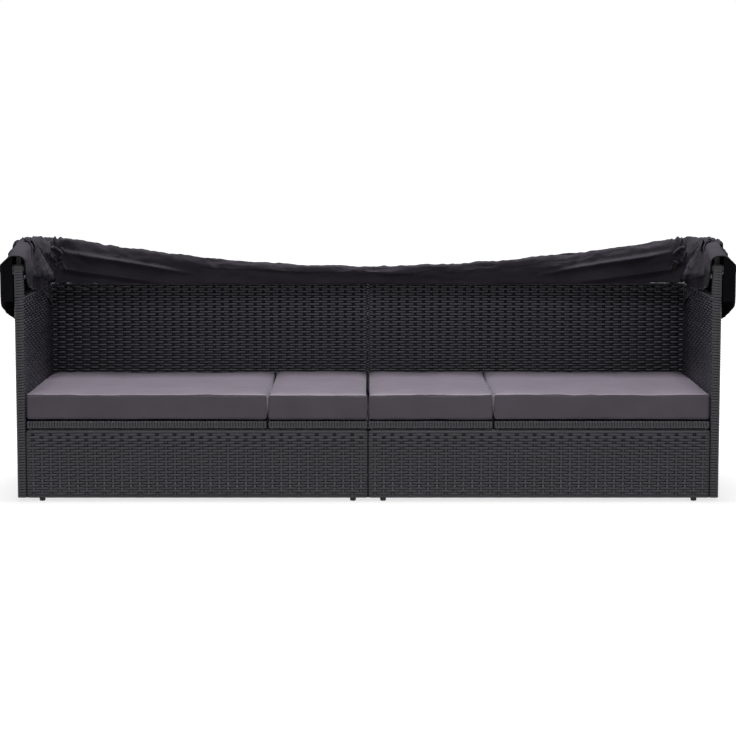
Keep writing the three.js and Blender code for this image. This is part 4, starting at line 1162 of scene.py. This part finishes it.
def valance(side, sign, outside):
    """The cloth that hangs along the outermost leg and tapers off round the bow's corner, with the
    binding of its free edge."""
    rows, columns = 130, 30
    arc = outside - CORNER_X
    path = np.linspace(-FLAP_FRONT, CORNER_U + arc * VALANCE_TURN, rows)[:, None]
    turn = np.clip(path - CORNER_U, 0, None) / arc
    reach = np.minimum(path, CORNER_U) + arc * np.sin(turn)
    placed = CORNER_X + arc * np.cos(turn)
    share = (reach - reach[0]) / (reach[-1] - reach[0])
    top = SHOULDER_RISE - share * (SHOULDER_RISE + reach[-1] * LEAN - 0.02)
    bottom = -VALANCE_FRONT_DROP * (1 - share) ** 2 - VALANCE_BACK_DROP * (1 - (1 - share) ** 2)
    corner = np.clip((reach + FLAP_FRONT) / FLAP_CORNER, 0, 1)
    bottom = bottom + FLAP_CORNER * (1 - np.sqrt(1 - (1 - corner) ** 2))
    ending = np.clip((path - VALANCE_TAPER) / (path[-1] - VALANCE_TAPER), 0, 1)
    rounding = np.sqrt(1 - 0.98 * np.clip(ending * 8 - 7, 0, 1) ** 2)
    depth = (bottom - top) * (1 - VALANCE_TAKEN * ending) * rounding
    z = PIVOT_Z + top + depth * np.linspace(0, 1, columns)
    keep = np.clip(share * 5, 0, 1) * np.linspace(0.15, 1, columns)
    outward = points_from(np.cos(turn), np.sin(turn), 0)
    grid = points_from(placed, PIVOT_Y + reach, z)
    grid = ruffle("valance", sign, grid, outward, keep)
    grid[:, :, 0] = sign * np.maximum(grid[:, :, 0], placed - 0.0008)
    piece = grid_piece(f"cloth_valance_{side}", grid, "canopy_front", sign < 0)
    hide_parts(f"canopy_flap_{side}")
    edge = np.concatenate([grid[0, ::3], grid[1:, -1]])
    binding = edging(f"binding_valance_{side}", edge)
    for part in (piece, binding):
        crumple(part)


def turned_edge(side, sign, outside):
    """The valance's front edge, turned in across the end of the pivot bolt, all in painted shade.
    """
    rows, columns = 24, 8
    x = np.linspace(TURNED_INSIDE, outside - 0.001, columns)
    share = np.clip((x - outside + SHOULDER_INSET) / SHOULDER_INSET, 0, 1)
    top = FLAP_CROWN + (SHOULDER_RISE - FLAP_CROWN) * share
    z = top - TURNED_GAP - (top + TURNED_DROP) * np.linspace(0, 1, rows)[:, None]
    grid = points_from(sign * x, PIVOT_Y - FLAP_FRONT - 0.0003, PIVOT_Z + z)
    piece = grid_piece(f"cloth_turned_edge_{side}", grid, "canopy_front", sign < 0)
    # Painted shade over the whole turned edge, for the shadow inside the hood.
    add_values(piece, "painted_shade", np.ones(rows * columns))
    return piece


def cheek(side, sign):
    """Smooth cloth along the inside of a leg, from the flap down to the folded corner."""
    low = low_high("canopy_flap_right")[0]
    rows, columns = 80, 30
    share, steps = np.linspace(0, 1, rows)[:, None], np.linspace(0, 1, columns)
    start = LEG_START - CHEEK_LEAD
    u = start + (CHEEK_END - start) * share
    inward = 0.5 - 0.5 * np.cos(math.pi * np.minimum(1, share / 0.3))
    turn = np.clip((u - (FRONT_REACH - CORNER_RADIUS)) / CORNER_RADIUS, 0, 1)
    height = (FOLD_POST + ROLL_DROP) * (1 - share) ** 0.8 + 0.004
    up = -ROLL_DROP - 0.001 + height * steps
    near_top = np.clip((up - (FOLD_POST - FLAP_CORNER)) / FLAP_CORNER, 0, 1)
    x = low[0] + 0.0008 - CHEEK_INWARD * inward - 0.5 * CORNER_RADIUS * (1 - np.sqrt(1 - turn**2))
    x = x + FLAP_CORNER * (1 - np.sqrt(1 - near_top**2))
    x = x - CHEEK_HOLLOW * np.sin(math.pi * steps) * inward
    keep = np.clip(np.linspace(0, 6, rows), 0, 1)[:, None]
    grid = points_from(x, *over_plane(u, up))
    grid = ruffle("cheek", sign, grid, -AXES[0], keep)
    grid[:, :, 0] *= sign
    piece = grid_piece(f"cloth_cheek_{side}", grid, "canopy_front", sign > 0)
    # Painted shade: the cheek darkens below a sloping line, where the folds above overhang it.
    edge = CHEEK_SHADE_Z - (grid[:, :, 1] + FRONT_REACH / 4) * CHEEK_SHADE_SLOPE
    add_values(piece, "painted_shade", np.clip((edge - grid[:, :, 2]) / CHEEK_SHADE_DEPTH, 0, 1).ravel())
    hem = edging(f"hem_cheek_{side}", grid[:, -1], radius=HEM_RADIUS, material=CANOPY)
    return piece


def gusset(side, sign):
    """The cloth fixed inside a side panel's top, with its bound lower edge."""
    low, high = low_high("canopy_gusset_right")
    share, steps = np.linspace(0, 1, 60)[:, None], np.linspace(0, 1, 20)
    y = low[1] + (high[1] - low[1]) * share
    bottom = (high[2] - GUSSET_DROP) * (1 - share**2) + low[2] * share**2
    top = high[2] - (y - low[1]) * LEAN + 0.003
    grid = points_from((low[0] + high[0]) / 2, y, bottom + (top - bottom) * steps)
    grid = ruffle("gusset", sign, grid, -AXES[0])
    grid[:, :, 0] = sign * np.minimum(grid[:, :, 0], high[0] - 0.001)
    piece = grid_piece(f"cloth_gusset_{side}", grid, "base", sign > 0)
    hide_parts(f"canopy_gusset_{side}")
    binding = edging(f"binding_gusset_{side}", grid[:, 0], "base")


def gather(side, sign, cloths):
    """Small folds that stand on the cloth where it is drawn together at a corner. They are laid on
    what shows of the cloth from the front, each broken where the cloth below steps back."""
    eye = Vector(GATHER_FROM)
    points, faces = [], []
    for line, radius in GATHER_FOLDS:
        line = smooth_path(np.array([line]), GATHER_STEPS)[0]
        ways = [(Vector((sign * x, GATHER_DEPTH, z)) - eye).normalized() for x, z in line]
        depths = []
        for way in ways:
            hits = [cloth.ray_cast(eye, way) for cloth in cloths]
            depths.append(min([(hit[1] - eye).length for hit in hits if hit[0]], default=math.inf))
        share = np.linspace(0.03, 0.97, GATHER_STEPS)
        radii = radius * (0.35 + 0.65 * np.sqrt(np.sin(math.pi * share)))
        breaks = [
            k for k in range(1, GATHER_STEPS)
            if not abs(depths[k] - depths[k - 1]) < GATHER_JUMP
        ]
        for start, end in zip([0] + breaks, breaks + [GATHER_STEPS]):
            if end - start < GATHER_SHORTEST or math.isinf(depths[start]):
                continue
            part = np.pad(depths[start:end], 2, mode="edge")
            part = np.convolve(part, np.ones(5) / 5, mode="valid")
            path = [eye + way * (depth - radius / 3) for way, depth in zip(ways[start:end], part)]
            more_points, more_faces = tube_parts(path, radii[start:end], False, 8)
            faces += [tuple(k + len(points) for k in face) for face in more_faces]
            points += more_points
    return add_mesh(f"folds_gather_{side}", points, faces, "canopy_front", CANOPY)


sheets = canopy_folds()
for side, sign in SIDES:
    flap(side, sign)
    side_cheek = cheek(side, sign)
    gusset(side, sign)
    gather(side, sign, [sheets[0][0], side_cheek])


# Stage, lights and camera

CAMERA_DISTANCE = 6.52
CAMERA_HEIGHT = 1.08
FOCAL_PX = 2205
PHOTO_PX = 736
HORIZON_PX = 121
SENSOR_MM = 36
FLOOR_SIZE = 40.0
FLOOR_TONE = 0.3
SHADOW_TONE = 0.26
SKY_STRENGTH = 0.34
WHITE = (1, 1, 1, 1)


def mixed_by_view(tree, other, seen):
    """One shader for light that falls on the object, the other for what camera, metal and glass
    look at."""
    rays = ("Is Camera Ray", "Is Glossy Ray", "Is Transmission Ray")
    path = add_node(tree, "ShaderNodeLightPath")
    mix = add_node(tree, "ShaderNodeMixShader")
    link(tree, largest(tree, *[(path, ray) for ray in rays]), "Value", mix, "Fac")
    link(tree, other, 0, mix, 1)
    link(tree, seen, 0, mix, 2)
    return mix


def floor_material():
    """Pale floor that keeps the object's shadow and goes to white for the camera."""
    made, tree, shader = new_material("pale_floor", (FLOOR_TONE,) * 3, 0.9, specular=0.0)
    shadowed = add_node(tree, "ShaderNodeBsdfDiffuse", {"Color": (*(SHADOW_TONE,) * 3, 1)})
    white = add_node(tree, "ShaderNodeEmission", {"Color": WHITE})
    place = add_node(tree, "ShaderNodeTexCoord")
    distance = add_node(tree, "ShaderNodeVectorMath", operation="LENGTH")
    link(tree, place, "Object", distance, "Vector")
    glow = add_node(
        tree, "ShaderNodeMapRange",
        {"From Min": 1.2, "From Max": 5.0, "To Min": 0.75, "To Max": 1.0},
    )
    link(tree, distance, "Value", glow, "Value")
    link(tree, glow, "Result", white, "Strength")
    seen = add_node(tree, "ShaderNodeAddShader")
    link(tree, shadowed, 0, seen, 0)
    link(tree, white, 0, seen, 1)
    link(tree, mixed_by_view(tree, shader, seen), 0, tree.nodes["Material Output"], "Surface")
    return made


def make_stage():
    half = FLOOR_SIZE / 2
    corners = [(-half, -half, 0), (half, -half, 0), (half, half, 0), (-half, half, 0)]
    mesh = bpy.data.meshes.new("floor")
    mesh.from_pydata(corners, [], [(0, 1, 2, 3)])
    mesh.materials.append(floor_material())
    add_object("floor", mesh)
    world = bpy.data.worlds.new("studio")
    bpy.context.scene.world = world
    world.use_nodes = True
    tree = world.node_tree
    soft = tree.nodes["Background"]
    soft.inputs["Color"].default_value = WHITE
    soft.inputs["Strength"].default_value = SKY_STRENGTH
    seen = add_node(tree, "ShaderNodeBackground", {"Color": WHITE, "Strength": 1.0})
    link(tree, mixed_by_view(tree, soft, seen), 0, tree.nodes["World Output"], "Surface")


def add_lamp(name, place, target, size, power):
    data = bpy.data.lights.new(name, "AREA")
    data.shape = "RECTANGLE"
    data.size, data.size_y = size
    data.energy = power
    lamp = add_object(name, data)
    lamp.location = place
    lamp.rotation_euler = (Vector(target) - Vector(place)).to_track_quat("-Z", "Y").to_euler()


def make_camera():
    data = bpy.data.cameras.new("camera")
    data.sensor_width = SENSOR_MM
    data.lens = FOCAL_PX / PHOTO_PX * SENSOR_MM
    data.clip_end = 100
    camera = add_object("camera", data)
    camera.location = (0, -CAMERA_DISTANCE, CAMERA_HEIGHT)
    pitch = math.atan2(PHOTO_PX / 2 - HORIZON_PX, FOCAL_PX)
    camera.rotation_euler = (math.pi / 2 - pitch, 0, 0)
    bpy.context.scene.camera = camera


make_stage()
add_lamp("overhead", (0, 0.9, 5.6), (0, 0, 0.3), (3.2, 2.6), 560)
add_lamp("front_fill", (0, -3.4, 4.2), (0, 0, 0.4), (3.0, 1.2), 42)
make_camera()
bpy.context.scene.view_settings.view_transform = "Standard"
